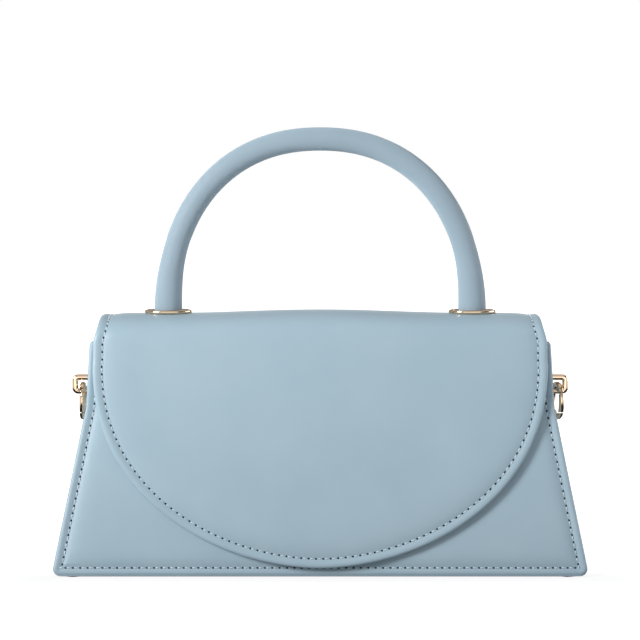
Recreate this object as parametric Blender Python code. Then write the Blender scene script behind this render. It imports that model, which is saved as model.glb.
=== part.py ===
"""Top handle bag, a structured leather handbag.

Two trapezoid panels on boards, channel-shaped gussets and a base sewn between them, a half-moon flap that turns on
the back top edge, an arched round handle on two oval plates, and on each side a bridge with an oval gated ring.
Metres, +Z up, the front faces -Y, and the origin is the centre of the base's underside.
"""

import math

import bmesh
import bpy
from mathutils import Matrix, Vector

MM = 0.001

# Fits shared by all pieces
GAP = 0.3 * MM
OVERRUN = 2.0 * MM
WELD = 0.002 * MM

# Body: the panels' outline and the depth from front to back
BASE_WIDTH = 254.6 * MM
TOP_WIDTH = 219.2 * MM
SHOULDER_STEP = 1.7 * MM
SHOULDER_HEIGHT = 80.0 * MM
BODY_HEIGHT = 110.8 * MM
BASE_DEPTH = 70.0 * MM
TOP_DEPTH = 42.0 * MM
BOTTOM_CORNER = 3.5 * MM
TOP_CORNER = 2.0 * MM
PANEL = 1.3 * MM
SEAM_MARGIN = 8.0 * MM

# Gussets: leather channels whose margins lie behind the panels' margins
GUSSET = 1.2 * MM
GUSSET_REVEAL = 0.5 * MM
GUSSET_CORNER = 2.0 * MM
GUSSET_SINK = 2.5 * MM
GUSSET_SINK_FROM = 15.0 * MM
GUSSET_SINK_FULL = 45.0 * MM
GUSSET_BOTTOM = 2.5 * MM
MOUTH_STEP = 0.4 * MM

# Base: a leather tray, its long margins behind the panels and its end tabs inside the gussets
BASE = 1.2 * MM
BASE_CORNER = 1.6 * MM
BASE_MARGIN = 8.0 * MM
TAB_HEIGHT = 12.0 * MM
TAB_SIDE_GAP = 0.8 * MM
MITRE = 3.0 * MM

# Boards inside the walls
BOARD = 1.2 * MM
BOARD_CORNER = 3.0 * MM

# Lining and facings
LINING = 0.5 * MM
LINING_INSET = 3.1 * MM
FACING = 1.0 * MM
FACING_DROP = 20.5 * MM

# Slip pocket on the back lining
POCKET_WIDTH = 110.0 * MM
POCKET_DROP = 8.3 * MM
POCKET_HEIGHT = 50.0 * MM
POCKET_CORNER = 6.0 * MM
WELT_HEIGHT = 9.0 * MM
WELT = 0.8 * MM

# Flap: the side profile over the mouth, and the half-moon outline
CROWN_LIFT = 11.6 * MM
CROWN_RISE = 1.7 * MM
CROWN_NARROWING = 4.8 * MM
CROWN_POWER = 2.8
FLAP_SIDE_STEP = 1.6 * MM
FLAP_WIDEN_DROP = 2.8 * MM
FLAP_SIDE_DROP = 9.8 * MM
FLAP_TIP_HEIGHT = 3.0 * MM
FLAP_SIDE_POWER = 1.7
FLAP_TIP_POWER = 2.2
FLAP_AIR = 0.5 * MM
FLAP_LEATHER = 1.0 * MM
FLAP_RIM = 2.4 * MM
FLAP_TURNED = 7.0 * MM
FLAP_FILLER = 0.8 * MM
FLAP_LINING_INSET = 0.6 * MM
HINGE_SLIT = 0.8 * MM
HINGE_PROUD = 0.2 * MM
STRIP = 1.2 * MM
STRIP_DROP = 25.0 * MM
STRIP_CORNER = 6.0 * MM

# Bar in the flap under the handle
BAR_END_AIR = 5.6 * MM
BAR_DEPTH = 22.0 * MM

# Closure magnets
MAGNET_RADIUS = 8.0 * MM
MAGNET_ABOVE_TIP = 27.0 * MM
FRONT_MAGNET = 1.1 * MM

# Handle
HANDLE_SIDE_INSET = 36.2 * MM
HANDLE_RISE = 82.8 * MM
HANDLE_RADIUS = 5.6 * MM
HANDLE_FOOT_RADIUS = 6.65 * MM
HANDLE_FOOT_HEIGHT = 34.0 * MM
HANDLE_POWER = 2.2
HANDLE_WALL = 1.2 * MM
INSERT_RADIUS = 2.7 * MM
INSERT_LENGTH = 11.0 * MM
SCREW_RADIUS = 1.5 * MM
SCREW_LENGTH = 15.0 * MM
SCREW_HEAD_RADIUS = 4.0 * MM
SCREW_HEAD = 1.4 * MM
SCREW_RECESS_RADIUS = 1.1 * MM
SCREW_RECESS = 0.7 * MM

# Oval plates under the handle's feet
PLATE_WIDTH = 23.0 * MM
PLATE_DEPTH = 17.0 * MM
PLATE = 2.0 * MM
PLATE_EDGE = 0.4 * MM
PLATE_DOME = 1.8 * MM
PLATE_SEAT = 0.6 * MM

# Side bridges
BRIDGE_ABOVE_SHOULDER = 3.9 * MM
BRIDGE_HEIGHT = 9.5 * MM
BRIDGE = 2.4 * MM
BRIDGE_AIR = 1.4 * MM
BRIDGE_DEPTH = 4.4 * MM
BRIDGE_CORNER = 2.6 * MM
BRIDGE_EDGE = 0.4 * MM
BRIDGE_SHARP = math.radians(60)
BACKING = 1.0 * MM
BACKING_MARGIN = 2.0 * MM
BACKING_DEPTH = 10.0 * MM

# Side rings and their gates
RING_AIR = 1.8 * MM
RING_HEIGHT = 18.4 * MM
RING_DEPTH = 15.0 * MM
RING_WIRE = 1.4 * MM
RING_POWER = 2.3
RING_YAW = math.radians(15)
GATE_LENGTH = 10.6 * MM
GATE_WIRE = 1.3 * MM
GATE_CUT_ANGLE = math.radians(23)
GATE_STEP = 0.4 * MM
EAR_REACH = 1.1 * MM
GATE_REACH = 1.9 * MM
TONGUE = 0.8 * MM
TONGUE_RADIUS = 1.0 * MM
TONGUE_SIDE = 0.15 * MM
PIN_RADIUS = 0.5 * MM
PIN_FIT = 0.06 * MM

# Finishes: colour as linear red, green and blue, and how rough each is
LEATHER_COLOUR = (0.36, 0.48, 0.55)
LEATHER_ROUGHNESS = 0.45
LINING_COLOUR = (0.22, 0.32, 0.39)
LINING_ROUGHNESS = 0.85
BOARD_COLOUR = (0.32, 0.27, 0.22)
BOARD_ROUGHNESS = 0.9
GILT_COLOUR = (0.83, 0.68, 0.47)
GILT_ROUGHNESS = 0.12
STEEL_COLOUR = (0.6, 0.6, 0.6)
STEEL_ROUGHNESS = 0.3

# Angles: where a face counts as sharp, and the steps that find a curve's direction and length
SHARP = math.radians(35)
SMALL_TURN = 0.01
SEARCH_TURN = 0.002

# Facet counts
ARC_STEPS = 4
ROD_SIDES = 20
TURNED_SIDES = 24
PLATE_SIDES = 32
HANDLE_SIDES = 16
HANDLE_STATIONS = 30
RING_SIDES = 10
RING_STATIONS = 30
FLAP_COLUMNS = 26
CROWN_ROWS = 12
SKIRT_ROWS = 8
BAR_COLUMNS = 16
BAR_ROWS = 8
CORE_SIDES = 12

# Shares of heights and spans where a sheet has its rows
WALL_ROW_SHARES = (0.0, 0.14, 0.28, 0.42, 0.6, 0.8, 1.0)
WEB_COLUMN_SHARES = (-1.0, -0.75, -0.5, -0.25, 0.0, 0.25, 0.5, 0.75, 1.0)


def clear_scene():
    """Empty the file, so that the bag is all it holds."""
    for old in list(bpy.data.objects):
        bpy.data.objects.remove(old, do_unlink=True)


def finish_material(name, colour, roughness, metallic):
    """One Principled surface with its own colour."""
    made = bpy.data.materials.new(name)
    made.use_nodes = True
    shader = made.node_tree.nodes["Principled BSDF"]
    shader.inputs["Base Color"].default_value = (*colour, 1.0)
    shader.inputs["Roughness"].default_value = roughness
    shader.inputs["Metallic"].default_value = metallic
    return made


def leather(name):
    """Smooth pale blue calf leather."""
    return finish_material(name, LEATHER_COLOUR, LEATHER_ROUGHNESS, 0)


def lining_cloth(name):
    """Woven lining in a slightly deeper blue."""
    return finish_material(name, LINING_COLOUR, LINING_ROUGHNESS, 0)


def board(name):
    """Grey-brown bonded leather board."""
    return finish_material(name, BOARD_COLOUR, BOARD_ROUGHNESS, 0)


def gilt(name):
    """Pale gold plating over zinc."""
    return finish_material(name, GILT_COLOUR, GILT_ROUGHNESS, 1)


def steel(name):
    """Bright steel."""
    return finish_material(name, STEEL_COLOUR, STEEL_ROUGHNESS, 1)


def solid(name, bm, finish):
    """Close a mesh off as one named object, its faces pointing out."""
    bmesh.ops.remove_doubles(bm, verts=bm.verts, dist=WELD)
    bmesh.ops.recalc_face_normals(bm, faces=bm.faces)
    mesh = bpy.data.meshes.new(name)
    bm.to_mesh(mesh)
    bm.free()
    mesh.shade_smooth()
    mesh.set_sharp_from_angle(angle=SHARP)
    mesh.materials.append(finish(name + "_finish"))
    made = bpy.data.objects.new(name, mesh)
    bpy.context.collection.objects.link(made)
    return made


def combine(target, tool, operation):
    """Apply a Boolean of the tool to the target, and drop the tool."""
    change = target.modifiers.new(operation.lower(), "BOOLEAN")
    change.operation = operation
    change.solver = "EXACT"
    change.object = tool
    bpy.context.view_layer.update()
    evaluated = target.evaluated_get(bpy.context.evaluated_depsgraph_get())
    changed = bpy.data.meshes.new_from_object(evaluated)
    target.modifiers.clear()
    old = target.data
    target.data = changed
    bpy.data.meshes.remove(old)
    bpy.data.objects.remove(tool, do_unlink=True)


def cut(target, tool):
    """Take the tool's shape out of the target."""
    combine(target, tool, "DIFFERENCE")


def pivot(name, place, pieces):
    """An empty on a joint's axis that carries the pieces turning there."""
    empty = bpy.data.objects.new(name, None)
    empty.location = place
    bpy.context.collection.objects.link(empty)
    bpy.context.view_layer.update()
    for piece in pieces:
        piece.parent = empty
        piece.matrix_parent_inverse = empty.matrix_world.inverted()


def rounded(corners, steps=ARC_STEPS):
    """Outline through corners (across, up, radius), each rounded by an arc that is tangent to both sides."""
    outline = []
    for index, (across, up, radius) in enumerate(corners):
        here = Vector((across, up))
        if radius == 0:
            outline.append(here)
            continue
        before = (Vector(corners[index - 1][:2]) - here).normalized()
        after = (Vector(corners[(index + 1) % len(corners)][:2]) - here).normalized()
        half = before.angle(after) / 2
        centre = here + (before + after).normalized() * (radius / math.sin(half))
        start = here + before * (radius / math.tan(half)) - centre
        end = here + after * (radius / math.tan(half)) - centre
        turn = math.atan2(start.x * end.y - start.y * end.x, start.dot(end))
        for step in range(steps + 1):
            outline.append(centre + Matrix.Rotation(turn * step / steps, 2) @ start)
    return outline


def prism(name, outline, place, near, far, finish):
    """A flat outline given thickness: place(point, depth) puts each of its points in space."""
    bm = bmesh.new()
    near_ring = [bm.verts.new(place(point, near)) for point in outline]
    far_ring = [bm.verts.new(place(point, far)) for point in outline]
    bm.faces.new(near_ring)
    bm.faces.new(list(reversed(far_ring)))
    for index in range(len(outline)):
        following = (index + 1) % len(outline)
        bm.faces.new((near_ring[following], near_ring[index], far_ring[index], far_ring[following]))
    return solid(name, bm, finish)


def slab(name, section, rows, near, far, finish):
    """A curved sheet with thickness: section(row, depth) gives the points across the sheet at one row."""
    bm = bmesh.new()
    outer = [[bm.verts.new(point) for point in section(row, near)] for row in rows]
    inner = [[bm.verts.new(point) for point in section(row, far)] for row in rows]
    last_row = len(rows) - 1
    last_column = len(outer[0]) - 1
    for i in range(last_row):
        for j in range(last_column):
            bm.faces.new((outer[i][j], outer[i][j + 1], outer[i + 1][j + 1], outer[i + 1][j]))
            bm.faces.new((inner[i][j], inner[i + 1][j], inner[i + 1][j + 1], inner[i][j + 1]))
    for i in range(last_row):
        for j, turned in ((0, False), (last_column, True)):
            side = [outer[i][j], outer[i + 1][j], inner[i + 1][j], inner[i][j]]
            bm.faces.new(list(reversed(side)) if turned else side)
    for j in range(last_column):
        for i, turned in ((0, True), (last_row, False)):
            side = [outer[i][j], outer[i][j + 1], inner[i][j + 1], inner[i][j]]
            bm.faces.new(list(reversed(side)) if not turned else side)
    return solid(name, bm, finish)


def turned(name, profile, place, finish, sides=TURNED_SIDES):
    """A solid of revolution: profile is a closed outline of (radius, height), place puts its points in space."""
    bm = bmesh.new()
    rings = []
    for side in range(sides):
        angle = math.tau * side / sides
        ring = []
        for radius, height in profile:
            point = Vector((radius * math.cos(angle), radius * math.sin(angle), height))
            ring.append(bm.verts.new(place @ point))
        rings.append(ring)
    for side in range(sides):
        this, following = rings[side], rings[(side + 1) % sides]
        for index in range(len(profile)):
            after = (index + 1) % len(profile)
            if profile[index][0] == 0 and profile[after][0] == 0:
                continue
            bm.faces.new((this[index], following[index], following[after], this[after]))
    return solid(name, bm, finish)


def rod(place, radius, bottom, top, name="cutter"):
    """A plain round bar along its own Z axis."""
    profile = [(0, bottom), (radius, bottom), (radius, top), (0, top)]
    return turned(name, profile, place, steel, sides=ROD_SIDES)


def block(low, high, place=None, name="cutter"):
    """A plain rectangular block between two corners."""
    bm = bmesh.new()
    bmesh.ops.create_cube(bm, size=1.0)
    for vert in bm.verts:
        point = Vector([(a + b) / 2 + side * (b - a) for a, b, side in zip(low, high, vert.co)])
        vert.co = place @ point if place else point
    return solid(name, bm, steel)


def swept(name, stations, binormal, sides, finish, closed=False):
    """A round bar along a flat path: stations are (centre, tangent, radius)."""
    bm = bmesh.new()
    rings = []
    for centre, tangent, radius in stations:
        normal = binormal.cross(tangent).normalized()
        ring = []
        for side in range(sides):
            angle = math.tau * side / sides
            ring.append(bm.verts.new(centre + (normal * math.cos(angle) + binormal * math.sin(angle)) * radius))
        rings.append(ring)
    pairs = list(zip(rings, rings[1:])) + ([(rings[-1], rings[0])] if closed else [])
    for this, following in pairs:
        for side in range(sides):
            after = (side + 1) % sides
            bm.faces.new((this[side], this[after], following[after], following[side]))
    if not closed:
        bm.faces.new(list(reversed(rings[0])))
        bm.faces.new(rings[-1])
    return solid(name, bm, finish)


def signed_power(value, power):
    """A power that keeps the value's sign, for superellipses."""
    return math.copysign(abs(value) ** power, value)


def ease(value, start, end):
    """Smooth step from 0 at start to 1 at end."""
    share = min(max((value - start) / (end - start), 0.0), 1.0)
    return share * share * (3 - 2 * share)


SHOULDER_WIDTH = TOP_WIDTH + 2 * SHOULDER_STEP
HANDLE_SPAN = TOP_WIDTH - 2 * HANDLE_SIDE_INSET


def half_width(height):
    """Half the body's width: a straight flare up to the shoulder, then nearly upright."""
    if height < SHOULDER_HEIGHT:
        return (BASE_WIDTH + (SHOULDER_WIDTH - BASE_WIDTH) * height / SHOULDER_HEIGHT) / 2
    share = (height - SHOULDER_HEIGHT) / (BODY_HEIGHT - SHOULDER_HEIGHT)
    return (SHOULDER_WIDTH + (TOP_WIDTH - SHOULDER_WIDTH) * share) / 2


def half_depth(height):
    """Half the body's depth: both panels lean in towards the mouth."""
    return (BASE_DEPTH + (TOP_DEPTH - BASE_DEPTH) * height / BODY_HEIGHT) / 2


LEAN = (BASE_DEPTH - TOP_DEPTH) / 2 / BODY_HEIGHT
UPPER_FLARE = (SHOULDER_WIDTH - TOP_WIDTH) / 2 / (BODY_HEIGHT - SHOULDER_HEIGHT)
MARGIN_INSET = PANEL + GAP
MARGIN_FROM_EDGE = GUSSET_REVEAL + SEAM_MARGIN


def on_wall(side):
    """Places a point (across, height) on the front (-1) or back (1) wall, some depth under the leather's face."""
    return lambda point, depth: Vector((point[0], side * (half_depth(point[1]) - depth), point[1]))


def wall_outline(inset, bottom, top, bottom_radius, top_radius):
    """The body's trapezoid between two heights, drawn in from the panels' edges."""
    corners = [(half_width(bottom) - inset, bottom, bottom_radius)]
    if bottom < SHOULDER_HEIGHT < top:
        corners.append((half_width(SHOULDER_HEIGHT) - inset, SHOULDER_HEIGHT, 0))
    corners.append((half_width(top) - inset, top, top_radius))
    corners += [(-across, height, radius) for across, height, radius in reversed(corners)]
    return rounded(corners)


def sink(height, across_depth):
    """How far a gusset's web is drawn in, at a height and a place from front (-) to back (+)."""
    reach = half_depth(height) - MARGIN_INSET - GUSSET_CORNER
    share = min(abs(across_depth) / reach, 1.0)
    rise = ease(height, GUSSET_SINK_FROM, GUSSET_SINK_FULL)
    return GUSSET_SINK * rise * math.cos(share * math.pi / 2) ** 2


# The leather walls


def make_panel(name, side):
    """Front or back panel: one flat piece of leather with rounded bottom corners."""
    outline = wall_outline(0, 0, BODY_HEIGHT, BOTTOM_CORNER, TOP_CORNER)
    return prism(name, outline, on_wall(side), 0, PANEL, leather)


def make_gusset(name, side):
    """Side wall: margins turned in behind both panels, and a web that is drawn in at mid depth."""

    def section(height, depth):
        out = half_width(height) - GUSSET_REVEAL - depth
        deep = half_depth(height) - MARGIN_INSET - depth
        radius = GUSSET_CORNER - depth
        tip = half_width(height) - MARGIN_FROM_EDGE
        front = [(tip, -deep)]
        for step in range(ARC_STEPS + 1):
            angle = -math.pi / 2 + math.pi / 2 * step / ARC_STEPS
            corner = (out - radius + radius * math.cos(angle), radius - deep + radius * math.sin(angle))
            front.append(corner)
        web = []
        for share in WEB_COLUMN_SHARES[1:-1]:
            across = share * (deep - radius)
            web.append((out - sink(height, across), across))
        back = [(x, -y) for x, y in reversed(front)]
        return [Vector((side * x, y, height)) for x, y in front + web + back]

    bottom = GUSSET_BOTTOM
    top = BODY_HEIGHT - MOUTH_STEP
    rows = sorted([bottom + (top - bottom) * share for share in WALL_ROW_SHARES] + [SHOULDER_HEIGHT])
    return slab(name, section, rows, 0, GUSSET, leather)


TAB_INSET = GUSSET_REVEAL + GUSSET + GAP


def make_base(name):
    """Base: a tray whose long margins turn up behind the panels and whose end tabs turn up inside the gussets."""
    flange_end = half_width(BASE_MARGIN) - MARGIN_FROM_EDGE - MITRE
    edge = half_depth(0) - MARGIN_INSET

    def profile(depth):
        """Points (across, up, margins stand) from the right tab's top to the left one's."""
        radius = BOTTOM_CORNER - depth
        floor = half_width(depth) - TAB_INSET - depth
        top = half_width(TAB_HEIGHT) - TAB_INSET - depth
        corners = [(top, TAB_HEIGHT, 0), (floor, depth, radius), (-floor, depth, radius), (-top, TAB_HEIGHT, 0)]
        points = [(point.x, point.y, False) for point in rounded(corners)]
        middle = len(points) // 2
        flat = [(flange_end + MITRE, depth, False), (flange_end, depth, True)]
        flat += [(0, depth, True)]
        flat += [(-flange_end, depth, True), (-flange_end - MITRE, depth, False)]
        return points[:middle] + flat + points[middle:]

    def section(row, depth):
        across, up, standing = profile(depth)[row]
        if standing:
            foot = half_depth(BASE_CORNER) - MARGIN_INSET
            front = [(depth + MARGIN_INSET - half_depth(BASE_MARGIN), BASE_MARGIN)]
            radius = BASE_CORNER - depth
            for step in range(ARC_STEPS + 1):
                angle = math.pi + math.pi / 2 * step / ARC_STEPS
                front.append((BASE_CORNER - foot + radius * math.cos(angle), BASE_CORNER + radius * math.sin(angle)))
        else:
            flat_row = up <= depth
            inside = half_depth(up) - MARGIN_INSET - GUSSET - TAB_SIDE_GAP
            reach = edge if flat_row and abs(across) <= flange_end + MITRE else inside
            front = [(-reach, up)] * (ARC_STEPS + 2)
        return [Vector((across, y, z)) for y, z in front + [(0, up)] + [(-y, z) for y, z in reversed(front)]]

    return slab(name, section, range(len(profile(0))), 0, BASE, leather)


def make_board(name, side):
    """Stiffener of the front or back wall, level with the margins and inside them."""
    inset = MARGIN_FROM_EDGE + GAP
    outline = wall_outline(inset, BASE_MARGIN + GAP, BODY_HEIGHT - MOUTH_STEP, BOARD_CORNER, 0)
    return prism(name, outline, on_wall(side), MARGIN_INSET, MARGIN_INSET + BOARD, board)


def make_base_board(name):
    """Stiffener that lies on the base, inside its margins and tabs."""
    low = BASE + GAP
    long_half = half_width(0) - TAB_INSET - BOTTOM_CORNER
    deep_half = half_depth(low + BOARD) - MARGIN_INSET - GUSSET - GAP
    corners = [(side * long_half, end * deep_half, BOARD_CORNER) for side, end in ((1, -1), (1, 1), (-1, 1), (-1, -1))]
    return prism(name, rounded(corners), lambda point, depth: Vector((*point, depth)), low, low + BOARD, board)


# Lining, facings and pocket

FLOOR_LINING = BASE + GAP + BOARD + GAP
LINING_BOTTOM = FLOOR_LINING + LINING + GAP
FACING_BOTTOM = BODY_HEIGHT - FACING_DROP
POCKET_TOP = FACING_BOTTOM - POCKET_DROP
POCKET_BOTTOM = POCKET_TOP - POCKET_HEIGHT
SIDE_LINING_DEPTH = GUSSET + BACKING + 4 * GAP + UPPER_FLARE * BRIDGE_HEIGHT / 2
SIDE_LINING_INSET = GUSSET_REVEAL + SIDE_LINING_DEPTH


def make_wall_lining(name, side):
    """Lining of the front or back wall, up to the facing."""
    inset = SIDE_LINING_INSET + LINING + GAP
    outline = wall_outline(inset, LINING_BOTTOM, FACING_BOTTOM - GAP, 0, 0)
    return prism(name, outline, on_wall(side), LINING_INSET, LINING_INSET + LINING, lining_cloth)


def make_facing(name, side):
    """Leather strip inside the mouth, above the lining."""
    inset = SIDE_LINING_INSET + LINING + GAP
    outline = wall_outline(inset, FACING_BOTTOM, BODY_HEIGHT - MOUTH_STEP, 0, 0)
    return prism(name, outline, on_wall(side), LINING_INSET, LINING_INSET + FACING, leather)


def make_side_lining(name, side):
    """Lining of a gusset, drawn in with its web."""

    def section(height, depth):
        reach = half_depth(height) - LINING_INSET - LINING - GAP
        out = half_width(height) - GUSSET_REVEAL - depth
        return [
            Vector((side * (out - sink(height, share * reach)), share * reach, height))
            for share in WEB_COLUMN_SHARES
        ]

    top = BODY_HEIGHT - MOUTH_STEP - GUSSET
    rows = sorted([LINING_BOTTOM + (top - LINING_BOTTOM) * share for share in WALL_ROW_SHARES] + [SHOULDER_HEIGHT])
    return slab(name, section, rows, SIDE_LINING_DEPTH, SIDE_LINING_DEPTH + LINING, lining_cloth)


def make_floor_lining(name):
    """Lining over the base board."""
    long_half = half_width(FLOOR_LINING + LINING) - SIDE_LINING_INSET - LINING
    deep_half = half_depth(FLOOR_LINING + LINING) - LINING_INSET
    corners = [(side * long_half, end * deep_half, 0) for side, end in ((1, -1), (1, 1), (-1, 1), (-1, -1))]
    top = FLOOR_LINING + LINING
    return prism(name, rounded(corners), lambda point, depth: Vector((*point, depth)), FLOOR_LINING, top, lining_cloth)


POCKET_INSET = LINING_INSET + LINING + GAP


def make_pocket(name):
    """Flat slip pocket on the back lining."""
    half = POCKET_WIDTH / 2
    corners = [(half, POCKET_BOTTOM, POCKET_CORNER), (half, POCKET_TOP, 0)]
    corners += [(-half, POCKET_TOP, 0), (-half, POCKET_BOTTOM, POCKET_CORNER)]
    return prism(name, rounded(corners), on_wall(1), POCKET_INSET, POCKET_INSET + LINING, lining_cloth)


def make_welt(name):
    """Leather strip along the pocket's top edge."""
    half = POCKET_WIDTH / 2
    near = POCKET_INSET + LINING + GAP
    corners = [(half, POCKET_TOP - WELT_HEIGHT, 0), (half, POCKET_TOP, 0)]
    corners += [(-half, POCKET_TOP, 0), (-half, POCKET_TOP - WELT_HEIGHT, 0)]
    return prism(name, rounded(corners), on_wall(1), near, near + WELT, leather)


# The flap

FLAP = FLAP_RIM + GAP + LINING
FLAP_WIDTH = TOP_WIDTH - 2 * FLAP_SIDE_STEP
FLAP_SIDE_HEIGHT = BODY_HEIGHT - FLAP_SIDE_DROP
CROWN_HEIGHT = BODY_HEIGHT + CROWN_LIFT
FRONT_FOLD = half_depth(BODY_HEIGHT) + FLAP_AIR + FLAP
BACK_FOLD = half_depth(BODY_HEIGHT) + GAP + STRIP
PROFILE_MIDDLE = (BACK_FOLD - FRONT_FOLD) / 2
PROFILE_REACH = (BACK_FOLD + FRONT_FOLD) / 2


def crown_lift(across):
    """How far the crown stands above the body: highest between the handle's feet."""
    share = min(abs(across) / (HANDLE_SPAN / 2), 1.0)
    return CROWN_LIFT + CROWN_RISE * math.cos(share * math.pi / 2) ** 2


def crown_point(angle, across):
    """The flap's outer face over the mouth, from the back hinge (0) to the front fold (pi), as (y, z)."""
    lift = crown_lift(across)
    out = signed_power(math.cos(angle), 2 / CROWN_POWER)
    up = signed_power(math.sin(angle), 2 / CROWN_POWER) * lift
    return Vector((PROFILE_MIDDLE + PROFILE_REACH * out - LEAN * up * out, BODY_HEIGHT + up))


def crown_layer(angle, across, depth):
    """The same, some depth under the outer face."""
    low = crown_point(max(angle - SMALL_TURN, 0.0), across)
    high = crown_point(min(angle + SMALL_TURN, math.pi), across)
    along = (high - low).normalized()
    return crown_point(angle, across) + Vector((-along.y, along.x)) * depth


def flap_half(height):
    """Half the flap's width: it widens a little from the crown to the front fold."""
    narrowing = CROWN_NARROWING * ease(height, BODY_HEIGHT - FLAP_WIDEN_DROP, CROWN_HEIGHT)
    return (FLAP_WIDTH - narrowing) / 2


def flap_rows(inset):
    """Rows of a flap layer: ("crown", angle), ("fold", share) and ("moon", share)."""
    start = (max(inset, HINGE_SLIT) / CROWN_LIFT) ** (CROWN_POWER / 2)
    rows = [("crown", start + (math.pi - start) * step / CROWN_ROWS) for step in range(CROWN_ROWS + 1)]
    rows.append(("fold", 1.0))
    rows += [("moon", (step + 1) / SKIRT_ROWS) for step in range(SKIRT_ROWS)]
    return rows


def flap_section(inset, columns=FLAP_COLUMNS):
    """Section function of a flap layer, drawn in from the flap's outline."""
    reach = FLAP_SIDE_HEIGHT - FLAP_TIP_HEIGHT - inset
    slope = math.sqrt(1 + LEAN * LEAN)

    def section(row, depth):
        zone, value = row
        points = []
        for column in range(columns + 1):
            angle = math.pi * column / columns
            across_share = signed_power(math.cos(angle), 2 / FLAP_SIDE_POWER)
            if zone == "crown":
                rough = crown_point(value, 0)
                across = across_share * (flap_half(rough.y) - inset)
                y, z = crown_layer(value, across, depth)
            else:
                across = across_share * (flap_half(FLAP_SIDE_HEIGHT) - inset)
                drop = reach * abs(math.sin(angle)) ** (2 / FLAP_TIP_POWER)
                z = FLAP_SIDE_HEIGHT - (drop * value if zone == "moon" else 0)
                y = -half_depth(z) - FLAP_AIR - FLAP + depth * slope
            points.append(Vector((across, y, z)))
        return points

    return section


def flap_slab(name, inset, near, far, finish):
    """One layer of the flap from the hinge to the tip."""
    return slab(name, flap_section(inset), flap_rows(inset), near, far, finish)


RECESS_NEAR = FLAP_LEATHER
FILLER_NEAR = FLAP_LEATHER + GAP


def make_flap_leather(name):
    """Flap leather: a sheet whose edge is turned under, so that its underside is a shallow tray."""
    leather_piece = flap_slab(name, 0, 0, FLAP_RIM, leather)
    tray = flap_slab("cutter", FLAP_TURNED, RECESS_NEAR, FLAP_RIM + OVERRUN, leather)
    cut(leather_piece, tray)
    return leather_piece


def make_flap_filler(name):
    """Flap stiffener: it fills the tray below the front fold and shapes the half moon."""
    inset = FLAP_TURNED + 2 * GAP
    rows = [row for row in flap_rows(inset) if row[0] != "crown"]
    return slab(name, flap_section(inset), rows, FILLER_NEAR, FILLER_NEAR + FLAP_FILLER, board)


def make_flap_bar(name):
    """Fibre bar in the crown that spreads the handle's pull."""
    length = 2 * (flap_half(CROWN_HEIGHT) - FLAP_TURNED - BAR_END_AIR)
    start = math.acos((BAR_DEPTH / 2 / PROFILE_REACH) ** (CROWN_POWER / 2))
    rows = [start + (math.pi - 2 * start) * step / BAR_ROWS for step in range(BAR_ROWS + 1)]

    def section(angle, depth):
        points = []
        for column in range(BAR_COLUMNS + 1):
            across = length * (column / BAR_COLUMNS - 1 / 2)
            points.append(Vector((across, *crown_layer(angle, across, depth))))
        return points

    return slab(name, section, rows, FILLER_NEAR, FILLER_NEAR + FLAP_FILLER, board)


def make_flap_strip(name):
    """The flap's fixed end, sewn flat on the back panel under the hinge."""
    bottom = BODY_HEIGHT - STRIP_DROP
    half = flap_half(bottom)
    corners = [(half, bottom, STRIP_CORNER), (half, BODY_HEIGHT, 0)]
    corners += [(-half, BODY_HEIGHT, 0), (-half, bottom, STRIP_CORNER)]
    return prism(name, rounded(corners), on_wall(1), -GAP - STRIP, -GAP, leather)


def wall_frame(height, depth):
    """Frame on the front wall whose Z axis points out of it, some depth under the panel's face."""
    place = Vector((0, depth - half_depth(height), height))
    return Matrix.Translation(place) @ Matrix.Rotation(math.pi / 2 - math.atan(LEAN), 4, "X")


def make_magnets():
    """Closure magnets: one let into the flap's filler, one into the front board, and their holes."""
    flap_depth = FILLER_NEAR - FLAP_AIR - FLAP
    height = FLAP_TIP_HEIGHT + MAGNET_ABOVE_TIP
    in_flap = wall_frame(height, flap_depth)
    profile = [(0, 0), (MAGNET_RADIUS, 0), (MAGNET_RADIUS, -FLAP_FILLER), (0, -FLAP_FILLER)]
    flap_magnet = turned("flap_magnet", profile, in_flap, steel)
    in_board = wall_frame(height, MARGIN_INSET)
    profile = [(0, 0), (MAGNET_RADIUS, 0), (MAGNET_RADIUS, -FRONT_MAGNET), (0, -FRONT_MAGNET)]
    turned("front_magnet", profile, in_board, steel)
    hole = MAGNET_RADIUS + GAP
    cut(bpy.data.objects["flap_filler"], rod(in_flap, hole, -OVERRUN, OVERRUN))
    cut(bpy.data.objects["front_board"], rod(in_board, hole, -OVERRUN, OVERRUN))
    return flap_magnet


# The handle

PLATE_BOTTOM = CROWN_HEIGHT + GAP
FOOT_BOTTOM = PLATE_BOTTOM + PLATE - PLATE_SEAT + GAP
CORE_RADIUS = HANDLE_RADIUS - HANDLE_WALL - GAP
CROWN_UNDER = CROWN_HEIGHT - FLAP
SCREW_HOLE = SCREW_RADIUS + GAP


def handle_stations(radius):
    """Centres, tangents and radii along the arch, from the left foot to the right one."""

    def centre(angle):
        across = -HANDLE_SPAN / 2 * signed_power(math.cos(angle), 2 / HANDLE_POWER)
        up = HANDLE_RISE * abs(math.sin(angle)) ** (2 / HANDLE_POWER)
        return Vector((across, 0, FOOT_BOTTOM + up))

    stations = []
    for step in range(HANDLE_STATIONS + 1):
        angle = math.pi * step / HANDLE_STATIONS
        here = centre(angle)
        if step in (0, HANDLE_STATIONS):
            tangent = Vector((0, 0, 1 if step == 0 else -1))
        else:
            tangent = (centre(angle + SMALL_TURN) - centre(angle - SMALL_TURN)).normalized()
        stations.append((here, tangent, radius(here.z - FOOT_BOTTOM)))
    return stations


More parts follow.
